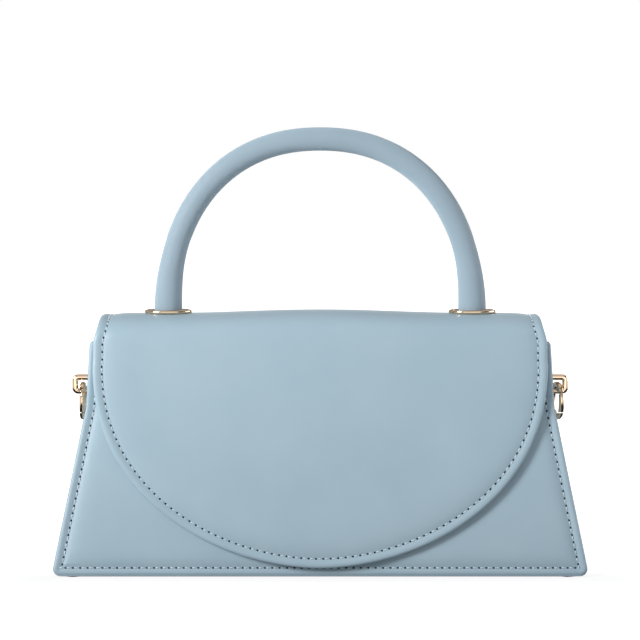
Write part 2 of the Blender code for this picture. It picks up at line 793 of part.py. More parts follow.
def make_handle():
    """Handle: a leather tube, a little wider at its feet, over a round core with a threaded insert in each end."""

    def cover_radius(above):
        return HANDLE_FOOT_RADIUS + (HANDLE_RADIUS - HANDLE_FOOT_RADIUS) * ease(above, 0, HANDLE_FOOT_HEIGHT)

    along_y = Vector((0, 1, 0))
    cover = swept("handle_cover", handle_stations(cover_radius), along_y, HANDLE_SIDES, leather)
    bore = swept("cutter", handle_stations(lambda above: CORE_RADIUS + GAP), along_y, HANDLE_SIDES, leather)
    for vert in bore.data.vertices:
        if vert.co.z < FOOT_BOTTOM + GAP:
            vert.co.z = FOOT_BOTTOM - OVERRUN
    cut(cover, bore)
    core = swept("handle_core", handle_stations(lambda above: CORE_RADIUS), along_y, CORE_SIDES, board)
    return [cover, core]


def make_foot(name_side, side):
    """One foot's fixings: oval plate, threaded insert in the core, and the screw that comes up from inside."""
    at_foot = Matrix.Translation((side * HANDLE_SPAN / 2, 0, 0))
    core = bpy.data.objects["handle_core"]
    insert_top = FOOT_BOTTOM + INSERT_LENGTH
    cut(core, rod(at_foot, INSERT_RADIUS + GAP, FOOT_BOTTOM - OVERRUN, insert_top + GAP))
    profile = [(SCREW_HOLE, FOOT_BOTTOM), (INSERT_RADIUS, FOOT_BOTTOM), (INSERT_RADIUS, insert_top)]
    profile += [(SCREW_HOLE, insert_top)]
    insert = turned("handle_insert_" + name_side, profile, at_foot, steel)

    plate = make_plate("handle_plate_" + name_side, at_foot)
    head_top = CROWN_UNDER - GAP
    head_bottom = head_top - SCREW_HEAD
    recess = head_bottom + SCREW_RECESS
    profile = [(0, recess), (SCREW_RECESS_RADIUS, recess), (SCREW_RECESS_RADIUS, head_bottom)]
    profile += [(SCREW_HEAD_RADIUS, head_bottom), (SCREW_HEAD_RADIUS, head_top), (SCREW_RADIUS, head_top)]
    profile += [(SCREW_RADIUS, head_top + SCREW_LENGTH), (0, head_top + SCREW_LENGTH)]
    screw = turned("handle_screw_" + name_side, profile, at_foot, steel)
    for holed in ("flap_leather", "flap_bar", "flap_lining"):
        drill = rod(at_foot, SCREW_HOLE, head_top, PLATE_BOTTOM + OVERRUN)
        cut(bpy.data.objects[holed], drill)
    return [insert, plate, screw]


def make_plate(name, at_foot):
    """Oval plate: a rolled edge, a domed top, and a shallow seat for the handle's foot."""
    top = PLATE_BOTTOM + PLATE
    levels = [
        (PLATE_BOTTOM, PLATE_EDGE),
        (PLATE_BOTTOM + PLATE_EDGE, 0),
        (top - 2 * PLATE_EDGE, 0),
        (top - PLATE_EDGE, PLATE_EDGE),
        (top, PLATE_DOME),
    ]
    bm = bmesh.new()
    rings = []
    for height, inset in levels:
        ring = []
        for side in range(PLATE_SIDES):
            angle = math.tau * side / PLATE_SIDES
            across = (PLATE_WIDTH / 2 - inset) * math.cos(angle)
            deep = (PLATE_DEPTH / 2 - inset) * math.sin(angle)
            ring.append(bm.verts.new(at_foot @ Vector((across, deep, height))))
        rings.append(ring)
    for this, following in zip(rings, rings[1:]):
        for side in range(PLATE_SIDES):
            after = (side + 1) % PLATE_SIDES
            bm.faces.new((this[side], this[after], following[after], following[side]))
    bm.faces.new(list(reversed(rings[0])))
    bm.faces.new(rings[-1])
    plate = solid(name, bm, gilt)
    cut(plate, rod(at_foot, HANDLE_FOOT_RADIUS + GAP, top - PLATE_SEAT, top + OVERRUN))
    cut(plate, rod(at_foot, SCREW_HOLE, PLATE_BOTTOM - OVERRUN, top + OVERRUN))
    return plate


# Side bridges, each as far out as the ring that swings in it needs

BRIDGE_BOTTOM = SHOULDER_HEIGHT + BRIDGE_ABOVE_SHOULDER
BRIDGE_TOP = BRIDGE_BOTTOM + BRIDGE_HEIGHT
BRIDGE_MIDDLE = (BRIDGE_TOP + BRIDGE_BOTTOM) / 2
WEB_OUT = half_width(BRIDGE_MIDDLE) - GUSSET_REVEAL - sink(BRIDGE_MIDDLE, 0)
BACKING_OUT = WEB_OUT - GUSSET - GAP
TENON_END = BACKING_OUT - BACKING - GAP / 2
RING_HALF_DEPTH = RING_DEPTH / 2 - RING_WIRE
RING_HALF_HEIGHT = RING_HEIGHT / 2 - RING_WIRE
RING_ARCH = RING_HALF_HEIGHT * (1 - (1 - (BRIDGE_DEPTH / 2 / RING_HALF_DEPTH) ** RING_POWER) ** (1 / RING_POWER))
RING_PIVOT = BRIDGE_BOTTOM + BRIDGE + GAP + RING_WIRE + RING_ARCH
RING_MIDDLE = RING_PIVOT - RING_HALF_HEIGHT
RING_FOOT = RING_MIDDLE - RING_HALF_HEIGHT - RING_WIRE
RING_WEB = half_width(RING_FOOT) - GUSSET_REVEAL - sink(RING_FOOT, 0)
RING_OUT = RING_WEB + RING_AIR + RING_WIRE + RING_HALF_DEPTH * math.sin(RING_YAW)
BRIDGE_OUT = RING_OUT + RING_WIRE + BRIDGE_AIR + BRIDGE


def make_bridge(name, side):
    """Bridge: a flat bar bent to a square arch, its two ends through the gusset and its backing plate."""
    corner = BRIDGE_CORNER - BRIDGE
    outer = rounded(
        [
            (TENON_END, BRIDGE_TOP, 0),
            (BRIDGE_OUT, BRIDGE_TOP, BRIDGE_CORNER),
            (BRIDGE_OUT, BRIDGE_BOTTOM, BRIDGE_CORNER),
            (TENON_END, BRIDGE_BOTTOM, 0),
        ]
    )
    inner = rounded(
        [
            (TENON_END, BRIDGE_TOP - BRIDGE, 0),
            (BRIDGE_OUT - BRIDGE, BRIDGE_TOP - BRIDGE, corner),
            (BRIDGE_OUT - BRIDGE, BRIDGE_BOTTOM + BRIDGE, corner),
            (TENON_END, BRIDGE_BOTTOM + BRIDGE, 0),
        ],
        steps=1,
    )
    outline = outer + list(reversed(inner))
    half = BRIDGE_DEPTH / 2
    made = prism(name, outline, lambda point, y: Vector((side * point[0], y, point[1])), -half, half, gilt)
    bevel = made.modifiers.new("edge", "BEVEL")
    bevel.width = BRIDGE_EDGE
    bevel.segments = 2
    bevel.limit_method = "ANGLE"
    bevel.angle_limit = BRIDGE_SHARP
    return made


def tenon_cutter(side, bar_bottom):
    """Cutter for one of the slots that the bridge's ends pass through."""
    ends = sorted((side * (TENON_END - OVERRUN), side * (WEB_OUT + OVERRUN)))
    half = BRIDGE_DEPTH / 2 + GAP
    return block((ends[0], -half, bar_bottom - GAP), (ends[1], half, bar_bottom + BRIDGE + GAP))


def make_backing(name, side):
    """Backing plate that the bridge's ends are spread against, inside the gusset and along its flare."""
    place = Matrix.Translation((side * BACKING_OUT, 0, BRIDGE_MIDDLE))
    place = place @ Matrix.Rotation(-side * math.atan(UPPER_FLARE), 4, "Y")
    thick = sorted((0, -side * BACKING))
    half_tall = BRIDGE_HEIGHT / 2 + BACKING_MARGIN
    low = (thick[0], -BACKING_DEPTH / 2, -half_tall)
    return block(low, (thick[1], BACKING_DEPTH / 2, half_tall), place, name)


def make_side_hardware(name_side, side, yaw):
    """Bridge, backing plate, ring, gate and pin of one side."""
    make_bridge("bridge_" + name_side, side)
    make_backing("bridge_plate_" + name_side, side)
    for holed in ("gusset_" + name_side, "bridge_plate_" + name_side):
        for bar_bottom in (BRIDGE_BOTTOM, BRIDGE_TOP - BRIDGE):
            cut(bpy.data.objects[holed], tenon_cutter(side, bar_bottom))
    make_ring(name_side, side, yaw)


# Side rings

GATE_HALF_SHARE = GATE_LENGTH / 2 / RING_HALF_HEIGHT
GATE_ANGLE = math.asin(GATE_HALF_SHARE ** (RING_POWER / 2))


def ring_point(angle):
    """The wire's centre line in the ring's own plane, (forward, up) from its middle."""
    forward = RING_HALF_DEPTH * signed_power(math.cos(angle), 2 / RING_POWER)
    up = RING_HALF_HEIGHT * signed_power(math.sin(angle), 2 / RING_POWER)
    return Vector((forward, up))


def ring_angle(start, reach):
    """The angle at which the centre line is some distance from where it is at another angle."""
    step = math.copysign(SEARCH_TURN, reach)
    angle = start
    while (ring_point(angle) - ring_point(start)).length < abs(reach):
        angle += step
    return angle


def make_ring(name_side, side, yaw):
    """Oval ring of round wire: an open loop, and a gate that closes its front side and turns inwards on a pin."""
    place = Matrix.Translation((side * RING_OUT, 0, RING_MIDDLE)) @ Matrix.Rotation(yaw, 4, "Z")
    across = (place.to_3x3() @ Vector((1, 0, 0))).normalized()

    def bar(name, start, end, radius, steps):
        stations = []
        for step in range(steps + 1):
            angle = start + (end - start) * step / steps
            here = ring_point(angle)
            ahead = ring_point(angle + SMALL_TURN) - ring_point(angle - SMALL_TURN)
            tangent = (place.to_3x3() @ Vector((0, -ahead.x, ahead.y))).normalized()
            stations.append((place @ Vector((0, -here.x, here.y)), tangent, radius))
        return swept(name, stations, across, RING_SIDES, gilt)

    pin = ring_point(GATE_ANGLE)
    pin_frame = place @ Matrix.Translation((0, -pin.x, pin.y))
    root = GATE_REACH + GATE_WIRE
    tilt = pin - ring_point(ring_angle(GATE_ANGLE, -root))
    along = math.atan2(-tilt.x, tilt.y)
    pin_along = pin_frame @ Matrix.Rotation(-along, 4, "X")
    wide = RING_WIRE + OVERRUN
    low_end = -pin.y

    ear = ring_angle(GATE_ANGLE, -EAR_REACH)
    ring = bar("ring_" + name_side, ear, math.tau - GATE_ANGLE / 2, RING_WIRE, RING_STATIONS)
    opening_low = (-wide, -RING_HALF_DEPTH - wide, low_end - GATE_STEP / 2)
    cut(ring, block(opening_low, (wide, -RING_WIRE, 0), place))
    slot_half = TONGUE / 2 + TONGUE_SIDE
    slot_top = TONGUE_RADIUS + GAP
    cut(ring, block((-slot_half, -wide, -wide), (slot_half, wide, slot_top), pin_along))
    turn = Matrix.Rotation(math.pi / 2, 4, "Y")
    cut(ring, rod(pin_frame @ turn, PIN_RADIUS + PIN_FIT, -wide, wide))

    shoulder = ring_angle(GATE_ANGLE, -GATE_REACH)
    gate = bar("gate_" + name_side, -GATE_ANGLE - GATE_CUT_ANGLE, shoulder, GATE_WIRE, RING_STATIONS // 2)
    free_end = (wide, RING_WIRE, low_end + GATE_STEP / 2)
    cut(gate, block((-wide, -RING_HALF_DEPTH - wide, low_end - RING_HALF_HEIGHT), free_end, place))
    outline = [(TONGUE_RADIUS, -root)]
    for step in range(2 * ARC_STEPS + 1):
        angle = math.pi * step / (2 * ARC_STEPS)
        outline.append((TONGUE_RADIUS * math.cos(angle), TONGUE_RADIUS * math.sin(angle)))
    outline.append((-TONGUE_RADIUS, -root))
    half = TONGUE / 2
    tongue = prism("cutter", outline, lambda point, x: pin_along @ Vector((x, *point)), -half, half, gilt)
    combine(gate, tongue, "UNION")
    cut(gate, rod(pin_frame @ turn, PIN_RADIUS + PIN_FIT, -wide, wide))
    reach = RING_WIRE - PIN_FIT
    gate_pin = rod(pin_frame @ turn, PIN_RADIUS, -reach, reach, "gate_pin_" + name_side)

    pivot("ring_pivot_" + name_side, (side * RING_OUT, 0, RING_PIVOT), [ring, gate_pin])
    pivot("gate_pivot_" + name_side, pin_frame.translation, [gate])


def main():
    clear_scene()
    make_panel("front_panel", -1)
    make_panel("back_panel", 1)
    make_gusset("gusset_left", -1)
    make_gusset("gusset_right", 1)
    make_base("base_panel")
    make_board("front_board", -1)
    make_board("back_board", 1)
    make_base_board("base_board")
    make_wall_lining("lining_front", -1)
    make_wall_lining("lining_back", 1)
    make_side_lining("lining_left", -1)
    make_side_lining("lining_right", 1)
    make_floor_lining("lining_base")
    make_facing("front_facing", -1)
    make_facing("back_facing", 1)
    make_pocket("slip_pocket")
    make_welt("pocket_welt")
    make_flap_strip("flap_back_strip")

    flap = [make_flap_leather("flap_leather"), make_flap_filler("flap_filler"), make_flap_bar("flap_bar")]
    flap.append(flap_slab("flap_lining", FLAP_LINING_INSET, FLAP_RIM + GAP, FLAP, lining_cloth))
    flap.append(make_magnets())
    flap += make_handle()
    flap += make_foot("left", -1)
    flap += make_foot("right", 1)
    pivot("flap_hinge", (0, BACK_FOLD + HINGE_PROUD, BODY_HEIGHT), flap)

    make_side_hardware("left", -1, 0)
    make_side_hardware("right", 1, RING_YAW)


main()
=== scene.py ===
"""Top handle bag in smooth calf leather: the looks of each piece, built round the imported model.

Everything is in metres in the model's own frame: +Z up, the front faces -Y, the base's underside at 0.
"""

import math

import bpy
import numpy as np
from mathutils import Matrix, Vector


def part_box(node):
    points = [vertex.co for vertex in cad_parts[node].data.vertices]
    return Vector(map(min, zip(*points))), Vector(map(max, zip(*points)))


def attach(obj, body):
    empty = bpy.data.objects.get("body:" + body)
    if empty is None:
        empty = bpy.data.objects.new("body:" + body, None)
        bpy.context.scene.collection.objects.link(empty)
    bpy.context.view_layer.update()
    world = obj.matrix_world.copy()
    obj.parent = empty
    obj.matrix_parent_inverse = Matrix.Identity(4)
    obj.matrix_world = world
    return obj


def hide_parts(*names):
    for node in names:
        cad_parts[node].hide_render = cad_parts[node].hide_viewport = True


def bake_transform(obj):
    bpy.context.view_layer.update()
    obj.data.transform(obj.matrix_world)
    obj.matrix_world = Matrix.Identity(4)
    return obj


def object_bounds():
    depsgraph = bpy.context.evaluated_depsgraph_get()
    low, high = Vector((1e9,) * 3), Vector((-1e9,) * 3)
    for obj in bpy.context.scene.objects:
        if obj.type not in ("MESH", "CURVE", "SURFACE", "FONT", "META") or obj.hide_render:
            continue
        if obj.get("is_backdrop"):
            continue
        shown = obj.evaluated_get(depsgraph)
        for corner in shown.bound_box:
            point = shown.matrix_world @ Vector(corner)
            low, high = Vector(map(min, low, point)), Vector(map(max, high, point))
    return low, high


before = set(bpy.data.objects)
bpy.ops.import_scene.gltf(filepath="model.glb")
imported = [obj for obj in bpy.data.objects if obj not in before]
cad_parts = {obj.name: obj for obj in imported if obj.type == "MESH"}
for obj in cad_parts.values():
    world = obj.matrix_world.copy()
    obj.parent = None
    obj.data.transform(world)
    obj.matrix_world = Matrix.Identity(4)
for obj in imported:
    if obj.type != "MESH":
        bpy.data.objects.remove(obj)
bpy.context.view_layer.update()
bpy.ops.object.select_all(action="DESELECT")
MM = 0.001


# Front and back panels.
# The two large walls: 1.3 mm calf glued over a board. The stitches pull a valley 4 mm inside the edge,
# between the full rim over the folded gusset and the middle, which the board's padding lifts a little.

BODY_HEIGHT = 110.8 * MM
SHOULDER_HEIGHT = 80 * MM
HALF_BASE = 127.3 * MM
HALF_SHOULDER = 111.3 * MM
HALF_TOP = 109.6 * MM
PANEL = 1.3 * MM
PANEL_STITCH = 4.0 * MM
PANEL_LIFT = 0.45 * MM
PANEL_ROLL = 1.3 * MM
ROLL_REACH = 5 * MM
PANEL_RINGS = (0.2, 0.5, 1.0, 1.8, 2.8, 3.3, 3.65, 4.0, 4.35, 4.8, 5.6, 7.0, 9.0, 12.0, 16.0)
PANEL_ROWS = [step * 6.5 * MM for step in range(1, 17)]
PANEL_COLUMNS = [step * 7.5 * MM for step in range(-16, 17)]
# how far the panel's face stands out (mm) at a distance (mm) from its edge
PANEL_FACE = (
    (0, -0.8), (0.2, -0.45), (0.5, -0.2), (1.0, -0.04), (1.8, -0.08), (2.8, -0.36),
    (3.3, -0.52), (3.65, -0.61), (4.0, -0.66), (4.35, -0.61), (4.8, -0.48), (5.6, -0.23),
    (7.0, 0.07), (9.0, 0.29), (12.0, 0.38), (16.0, 0.4),
)


def hex_colour(code):
    """An sRGB hex colour as linear red, green, blue and alpha."""
    shares = [int(code[at : at + 2], 16) / 255 for at in (0, 2, 4)]
    return (*[v / 12.92 if v <= 0.04045 else ((v + 0.055) / 1.055) ** 2.4 for v in shares], 1)


def add_node(tree, kind, settings=None, values=None, links=None):
    """Add a node with its settings, its inputs' values, and links to its inputs from other nodes' outputs."""
    made = tree.nodes.new(kind)
    for name, value in (settings or {}).items():
        setattr(made, name, value)
    for name, value in (values or {}).items():
        made.inputs[name].default_value = value
    for name, output in (links or {}).items():
        tree.links.new(output, made.inputs[name])
    return made


def new_material(name, **values):
    """A Principled material, and its tree, shader and Object coordinates."""
    made = bpy.data.materials.new(name)
    made.use_nodes = True
    tree = made.node_tree
    shader = tree.nodes["Principled BSDF"]
    for key, value in values.items():
        shader.inputs[key.replace("_", " ")].default_value = value
    place = add_node(tree, "ShaderNodeTexCoord").outputs["Object"]
    return made, tree, shader, place


def calf_leather(name, light, dark, coat=0.12, smooth=0.37, rough=0.48, nap=0):
    """Smooth drum-dyed calf with a satin finish: even colour, faintly cloudy, with pores finer than 1 mm."""
    made, tree, shader, place = new_material(
        name, Coat_Weight=coat, Coat_Roughness=0.38, Diffuse_Roughness=nap
    )
    # cloudiness some 35 mm across, as the dye takes unevenly
    cloud = add_node(tree, "ShaderNodeTexNoise", {}, {"Scale": 1 / (35 * MM), "Detail": 3}, {"Vector": place})
    uneven = {"From Min": 0.3, "From Max": 0.7}
    spread = add_node(tree, "ShaderNodeMapRange", {}, uneven, {"Value": cloud.outputs[0]})
    tones = {6: hex_colour(dark), 7: hex_colour(light)}
    tint = add_node(tree, "ShaderNodeMix", {"data_type": "RGBA"}, tones, {0: spread.outputs[0]})
    tree.links.new(tint.outputs[2], shader.inputs["Base Color"])
    # pores 0.7 mm apart between creases 3 mm apart
    pores = add_node(tree, "ShaderNodeTexVoronoi", {}, {"Scale": 1 / (0.7 * MM)}, {"Vector": place})
    crease = add_node(tree, "ShaderNodeTexNoise", {}, {"Scale": 1 / (3 * MM), "Detail": 5}, {"Vector": place})
    shallow = {"Strength": 0.1, "Distance": 0.12 * MM}
    low = add_node(tree, "ShaderNodeBump", {}, shallow, {"Height": crease.outputs[0]})
    fine = {"Strength": 0.12, "Distance": 0.05 * MM}
    relief = {"Height": pores.outputs["Distance"], "Normal": low.outputs[0]}
    bump = add_node(tree, "ShaderNodeBump", {}, fine, relief)
    tree.links.new(bump.outputs[0], shader.inputs["Normal"])
    satin = {"To Min": smooth, "To Max": rough}
    gloss = add_node(tree, "ShaderNodeMapRange", {}, satin, {"Value": crease.outputs[0]})
    tree.links.new(gloss.outputs[0], shader.inputs["Roughness"])
    return made


def edge_paint(name, code):
    """Acrylic edge paint: a smooth, slightly glossy film a shade deeper than the leather, or darker still
    where it also carries painted shade.
    """
    made, tree, shader, place = new_material(name, Base_Color=hex_colour(code), Roughness=0.3)
    coarse = {"Scale": 1 / (1.5 * MM), "Detail": 2}
    lumps = add_node(tree, "ShaderNodeTexNoise", {}, coarse, {"Vector": place})
    raised = {"Strength": 0.2, "Distance": 0.1 * MM}
    bump = add_node(tree, "ShaderNodeBump", {}, raised, {"Height": lumps.outputs[0]})
    tree.links.new(bump.outputs[0], shader.inputs["Normal"])
    return made


LEATHER = calf_leather("smooth_calf_pale_blue", "a6bdc9", "a0b8c5")
# the panels' edge paint is darker than real edge paint: it also paints the shade along their edges and the
# dark line at their foot
EDGE_PAINT_AND_SHADE = edge_paint("edge_paint_and_painted_shade", "6c8493")


def half_depth(height):
    """Half the body's depth, from 35 mm at the base to 21 mm at the mouth."""
    return 35 * MM - 14 * MM * height / BODY_HEIGHT


def half_width(height):
    """Half the body's width: a straight flare up to the shoulder, then nearly upright."""
    return float(np.interp(height, (0, SHOULDER_HEIGHT, BODY_HEIGHT), (HALF_BASE, HALF_SHOULDER, HALF_TOP)))


def rounded(corners, steps=6):
    """Outline through corners (across, along, radius), each rounded by an arc."""
    outline = []
    for index, (across, along, radius) in enumerate(corners):
        here = Vector((across, along))
        before = (Vector(corners[index - 1][:2]) - here).normalized()
        after = (Vector(corners[(index + 1) % len(corners)][:2]) - here).normalized()
        half = before.angle(after) / 2
        if radius == 0:
            outline.append(here)
            continue
        centre = here + (before + after).normalized() * (radius / math.sin(half))
        start = here + before * (radius / math.tan(half)) - centre
        end = here + after * (radius / math.tan(half)) - centre
        turn = math.atan2(start.x * end.y - start.y * end.x, start.dot(end))
        outline += [centre + Matrix.Rotation(turn * step / steps, 2) @ start for step in range(steps + 1)]
    return outline


def meet(one, other):
    """Where two lines cross, each a point and a direction; the second one's point if they run alike."""
    turn = one[1].cross(other[1])
    if abs(turn) < 1e-6:
        return other[0]
    return one[0] + one[1] * ((other[0] - one[0]).cross(other[1]) / turn)


def shrunk(outline, distance):
    """An outline drawn in by a distance, point for point; the ends of a side that runs out fall together."""
    many = len(outline)
    sides = []
    for index, point in enumerate(outline):
        way = (outline[(index + 1) % many] - point).normalized()
        sides.append((point + Vector((-way.y, way.x)) * distance, way))
    alive = list(range(many))
    lost = True
    while lost:
        corners = [meet(sides[alive[at - 1]], sides[alive[at]]) for at in range(len(alive))]
        lost = set()
        for at, side in enumerate(alive):
            if (corners[(at + 1) % len(alive)] - corners[at]).dot(sides[side][1]) < 0:
                lost.add(side)
        kept = [side for side in alive if side not in lost]
        if lost:
            alive = kept
    starts = dict(zip(alive, corners))
    ring = []
    for index in range(many):
        following = [(index + ahead) % many for ahead in range(many)]
        ring.append(next(starts[at] for at in following if at in starts))
    return ring


def new_piece(name, points, faces):
    """A new piece from its points and faces, placed as they are."""
    mesh = bpy.data.meshes.new(name)
    mesh.from_pydata(points, [], faces)
    piece = bpy.data.objects.new(name, mesh)
    bpy.context.collection.objects.link(piece)
    return piece


def cut_sheet(name, outline, rings, back_rings, rows, columns):
    """A flat sheet of unit thickness cut to an outline, ringed inside its edge (mm) and sliced both ways."""
    levels = [(distance, 0) for distance in reversed(back_rings)] + [(0, 0), (0, 1)]
    levels += [(distance, 1) for distance in rings]
    many = len(outline)
    points = []
    for distance, height in levels:
        points += [(*point, height) for point in shrunk(outline, distance * MM)]
    faces = [list(range(many))[::-1], [many * (len(levels) - 1) + at for at in range(many)]]
    for level in range(len(levels) - 1):
        low = level * many
        for at in range(many):
            after = (at + 1) % many
            faces.append((low + at, low + after, low + many + after, low + many + at))
    piece = new_piece(name, points, faces)
    bpy.context.view_layer.objects.active = piece
    piece.select_set(True)
    bpy.ops.object.mode_set(mode="EDIT")
    bpy.ops.mesh.select_all(action="SELECT")
    bpy.ops.mesh.remove_doubles(threshold=0.004 * MM)
    for places, way in ((rows, Vector((0, 1, 0))), (columns, Vector((1, 0, 0)))):
        for place in places:
            bpy.ops.mesh.select_all(action="SELECT")
            bpy.ops.mesh.bisect(plane_co=way * place, plane_no=way)
    bpy.ops.mesh.select_all(action="SELECT")
    bpy.ops.mesh.normals_make_consistent(inside=False)
    bpy.ops.object.mode_set(mode="OBJECT")
    return piece


def edge_distance(points, outline):
    """How far each flat point lies from an outline."""
    ends = np.array([tuple(point) for point in outline])
    starts = np.roll(ends, 1, axis=0)
    along = ends - starts
    offset = points[:, None, :] - starts[None]
    share = np.clip((offset * along).sum(2) / (along * along).sum(1), 0, 1)
    return np.linalg.norm(offset - share[..., None] * along, axis=2).min(1)


def shape_sheet(piece, outline, place, paint_and_shade_within):
    """Put a flat sheet's points where place(across, along, on the face, distance from the edge) says."""
    flat = np.array([vert.co for vert in piece.data.vertices])
    distances = edge_distance(flat[:, :2], outline)
    # faces this close to the edge take the second finish, the edge paint with its painted shade
    for face in piece.data.polygons:
        face.material_index = int(max(distances[list(face.vertices)]) < paint_and_shade_within)
    for vert, distance in zip(piece.data.vertices, distances):
        vert.co = place(vert.co.x, vert.co.y, vert.co.z > 0.5, distance)


def finish_piece(piece, body, replaced=(), materials=(), smooth=40):
    """Give a piece its finishes and smooth shading, and tie it to the model."""
    for material in materials:
        piece.data.materials.append(material)
    bpy.ops.object.select_all(action="DESELECT")
    piece.select_set(True)
    bpy.context.view_layer.objects.active = piece
    bpy.ops.object.shade_smooth_by_angle(angle=math.radians(smooth))
    piece.select_set(False)
    if body:
        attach(piece, body)
    if replaced:
        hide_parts(*replaced)


def profile_value(table, distance):
    """A height in metres from a table of (distance, height) in mm."""
    return float(np.interp(distance / MM, [row[0] for row in table], [row[1] for row in table])) * MM


def wall_place(side, across, height, out):
    """A point some way out from the front (-1) or back (1) wall's face."""
    return Vector((across, side * (half_depth(height) + out), height))


PANEL_OUTLINE = rounded(
    [
        (HALF_BASE, PANEL_LIFT, 3.5 * MM),
        (HALF_SHOULDER, SHOULDER_HEIGHT, 0),
        (HALF_TOP, BODY_HEIGHT, 2 * MM),
        (-HALF_TOP, BODY_HEIGHT, 2 * MM),
        (-HALF_SHOULDER, SHOULDER_HEIGHT, 0),
        (-HALF_BASE, PANEL_LIFT, 3.5 * MM),
    ]
)


def panel_face(across, height, distance):
    """How far a panel's face stands out from its flat form: pressed margin, groove, then a soft swell."""
    ripple = 0.05 * MM * math.sin(across / (17 * MM)) * math.sin(height / (13 * MM) + across / (29 * MM))
    roll = PANEL_ROLL * max(1 - height / ROLL_REACH, 0) ** 2
    out = profile_value(PANEL_FACE, distance) + ripple * min(distance / (8 * MM), 1) - roll
    return max(out, 0.2 * MM - PANEL)


for panel_name, side in (("front", -1), ("back", 1)):
    panel = cut_sheet(
        panel_name + "_wall_leather", PANEL_OUTLINE, PANEL_RINGS, (0.5,), PANEL_ROWS, PANEL_COLUMNS
    )

    def panel_place(across, height, on_face, distance):
        out = panel_face(across, height, distance) if on_face else -PANEL
        return wall_place(side, across, height, out)

    # rims within 0.3 mm of the edge take the edge paint, which carries painted shade
    shape_sheet(panel, PANEL_OUTLINE, panel_place, 0.3 * MM)
    if side == 1:
        panel.data.flip_normals()
    finish_piece(panel, "bag", [panel_name + "_panel"], [LEATHER, EDGE_PAINT_AND_SHADE])


# Gussets.
# The two side walls, each one strip of the same calf: its margins are folded in behind the panels' margins
# and sewn through with them, and its middle sinks a little, as thin leather does between two stiff walls.

FIT = 0.3 * MM
REVEAL = 0.5 * MM
GUSSET = 1.2 * MM
GUSSET_FOLD = 2 * MM
GUSSET_SINK = 2.5 * MM
SEAM_MARGIN = 8 * MM
GUSSET_LOW = 2.5 * MM
MOUTH_STEP = 0.4 * MM
FOLD_STEPS = 6
WEB_STEPS = 24
GUSSET_ROWS = 40


def ease(value, start, end):
    """Smooth step from 0 at start to 1 at end."""
    share = min(max((value - start) / (end - start), 0), 1)
    return share * share * (3 - 2 * share)


def close_up(piece):
    """Merge the points that meet and turn every face outwards."""
    bpy.ops.object.select_all(action="DESELECT")
    bpy.context.view_layer.objects.active = piece
    piece.select_set(True)
    bpy.ops.object.mode_set(mode="EDIT")
    bpy.ops.mesh.select_all(action="SELECT")
    bpy.ops.mesh.remove_doubles(threshold=0.002 * MM)
    bpy.ops.mesh.normals_make_consistent(inside=False)
    bpy.ops.object.mode_set(mode="OBJECT")


def laid_sheet(name, columns, rows, place, size=(1, 1)):
    """A sheet with two skins: place(column, row, skin) lays each point of a grid, and its UV is in metres."""
    bpy.ops.mesh.primitive_grid_add(x_subdivisions=columns, y_subdivisions=rows, size=1)
    piece = bpy.context.object
    piece.name = name
    bpy.ops.object.mode_set(mode="EDIT")
    bpy.ops.mesh.select_all(action="SELECT")
    bpy.ops.mesh.extrude_region_move(TRANSFORM_OT_translate={"value": (0, 0, 1)})
    bpy.ops.object.mode_set(mode="OBJECT")
    for corner in piece.data.uv_layers[0].data:
        corner.uv = (corner.uv.x * size[0], corner.uv.y * size[1])
    for vert in piece.data.vertices:
        column = round((vert.co.x + 0.5) * columns)
        row = round((vert.co.y + 0.5) * rows)
        vert.co = place(column, row, round(vert.co.z))
    close_up(piece)
    return piece


def web_sink(height, across, reach):
    """How far a gusset's middle is drawn in, less towards the base and its margins."""
    share = min(abs(across) / reach, 1)
    return GUSSET_SINK * ease(height, 15 * MM, 45 * MM) * math.cos(share * math.pi / 2) ** 2


def gusset_section(height, depth):
    """Points (out, across) from the front margin's tip round the web to the back margin's tip."""
    out = half_width(height) - REVEAL - depth
    deep = half_depth(height) - PANEL - FIT - depth
    radius = GUSSET_FOLD - depth
    front = [(half_width(height) - REVEAL - SEAM_MARGIN, -deep)]
    for step in range(FOLD_STEPS + 1):
        angle = math.pi / 2 * (step / FOLD_STEPS - 1)
        front.append((out - radius + radius * math.cos(angle), radius - deep + radius * math.sin(angle)))
    reach = deep - radius
    web = []
    for step in range(1, WEB_STEPS):
        across = reach * (2 * step / WEB_STEPS - 1)
        web.append((out - web_sink(height, across, reach + depth), across))
    return front + web + [(x, -y) for x, y in reversed(front)]


gusset_columns = len(gusset_section(0, 0)) - 1
for side_name, side in (("left", -1), ("right", 1)):

    def gusset_place(column, row, skin):
        height = GUSSET_LOW + (BODY_HEIGHT - MOUTH_STEP - GUSSET_LOW) * row / GUSSET_ROWS
        x, y = gusset_section(height, GUSSET * skin)[column]
        ripple = 0.12 * MM * math.sin(height / (9 * MM) + side) * math.cos(y / (11 * MM)) ** 2
        return Vector((side * (x - ripple * ease(height, 10 * MM, 30 * MM)), y, height))

    gusset = laid_sheet("gusset_" + side_name + "_calf", gusset_columns, GUSSET_ROWS, gusset_place)
    finish_piece(gusset, "bag", ["gusset_" + side_name], [LEATHER], 60)


# Base.
# One piece of the same calf, whose long margins turn up behind the panels and whose end tabs turn up inside
# the gussets. A board lies on it, so it stands flat and only its long edges are rounded.

BASE = 1.2 * MM
BASE_FOLD = 1.6 * MM
BASE_MARGIN = 8 * MM
TAB_HEIGHT = 12 * MM
TAB_AIR = 0.8 * MM
MITRE = 3 * MM
TAB_INSET = REVEAL + GUSSET + FIT
FLAT_STEPS = 24
SIDE_STEPS = 6


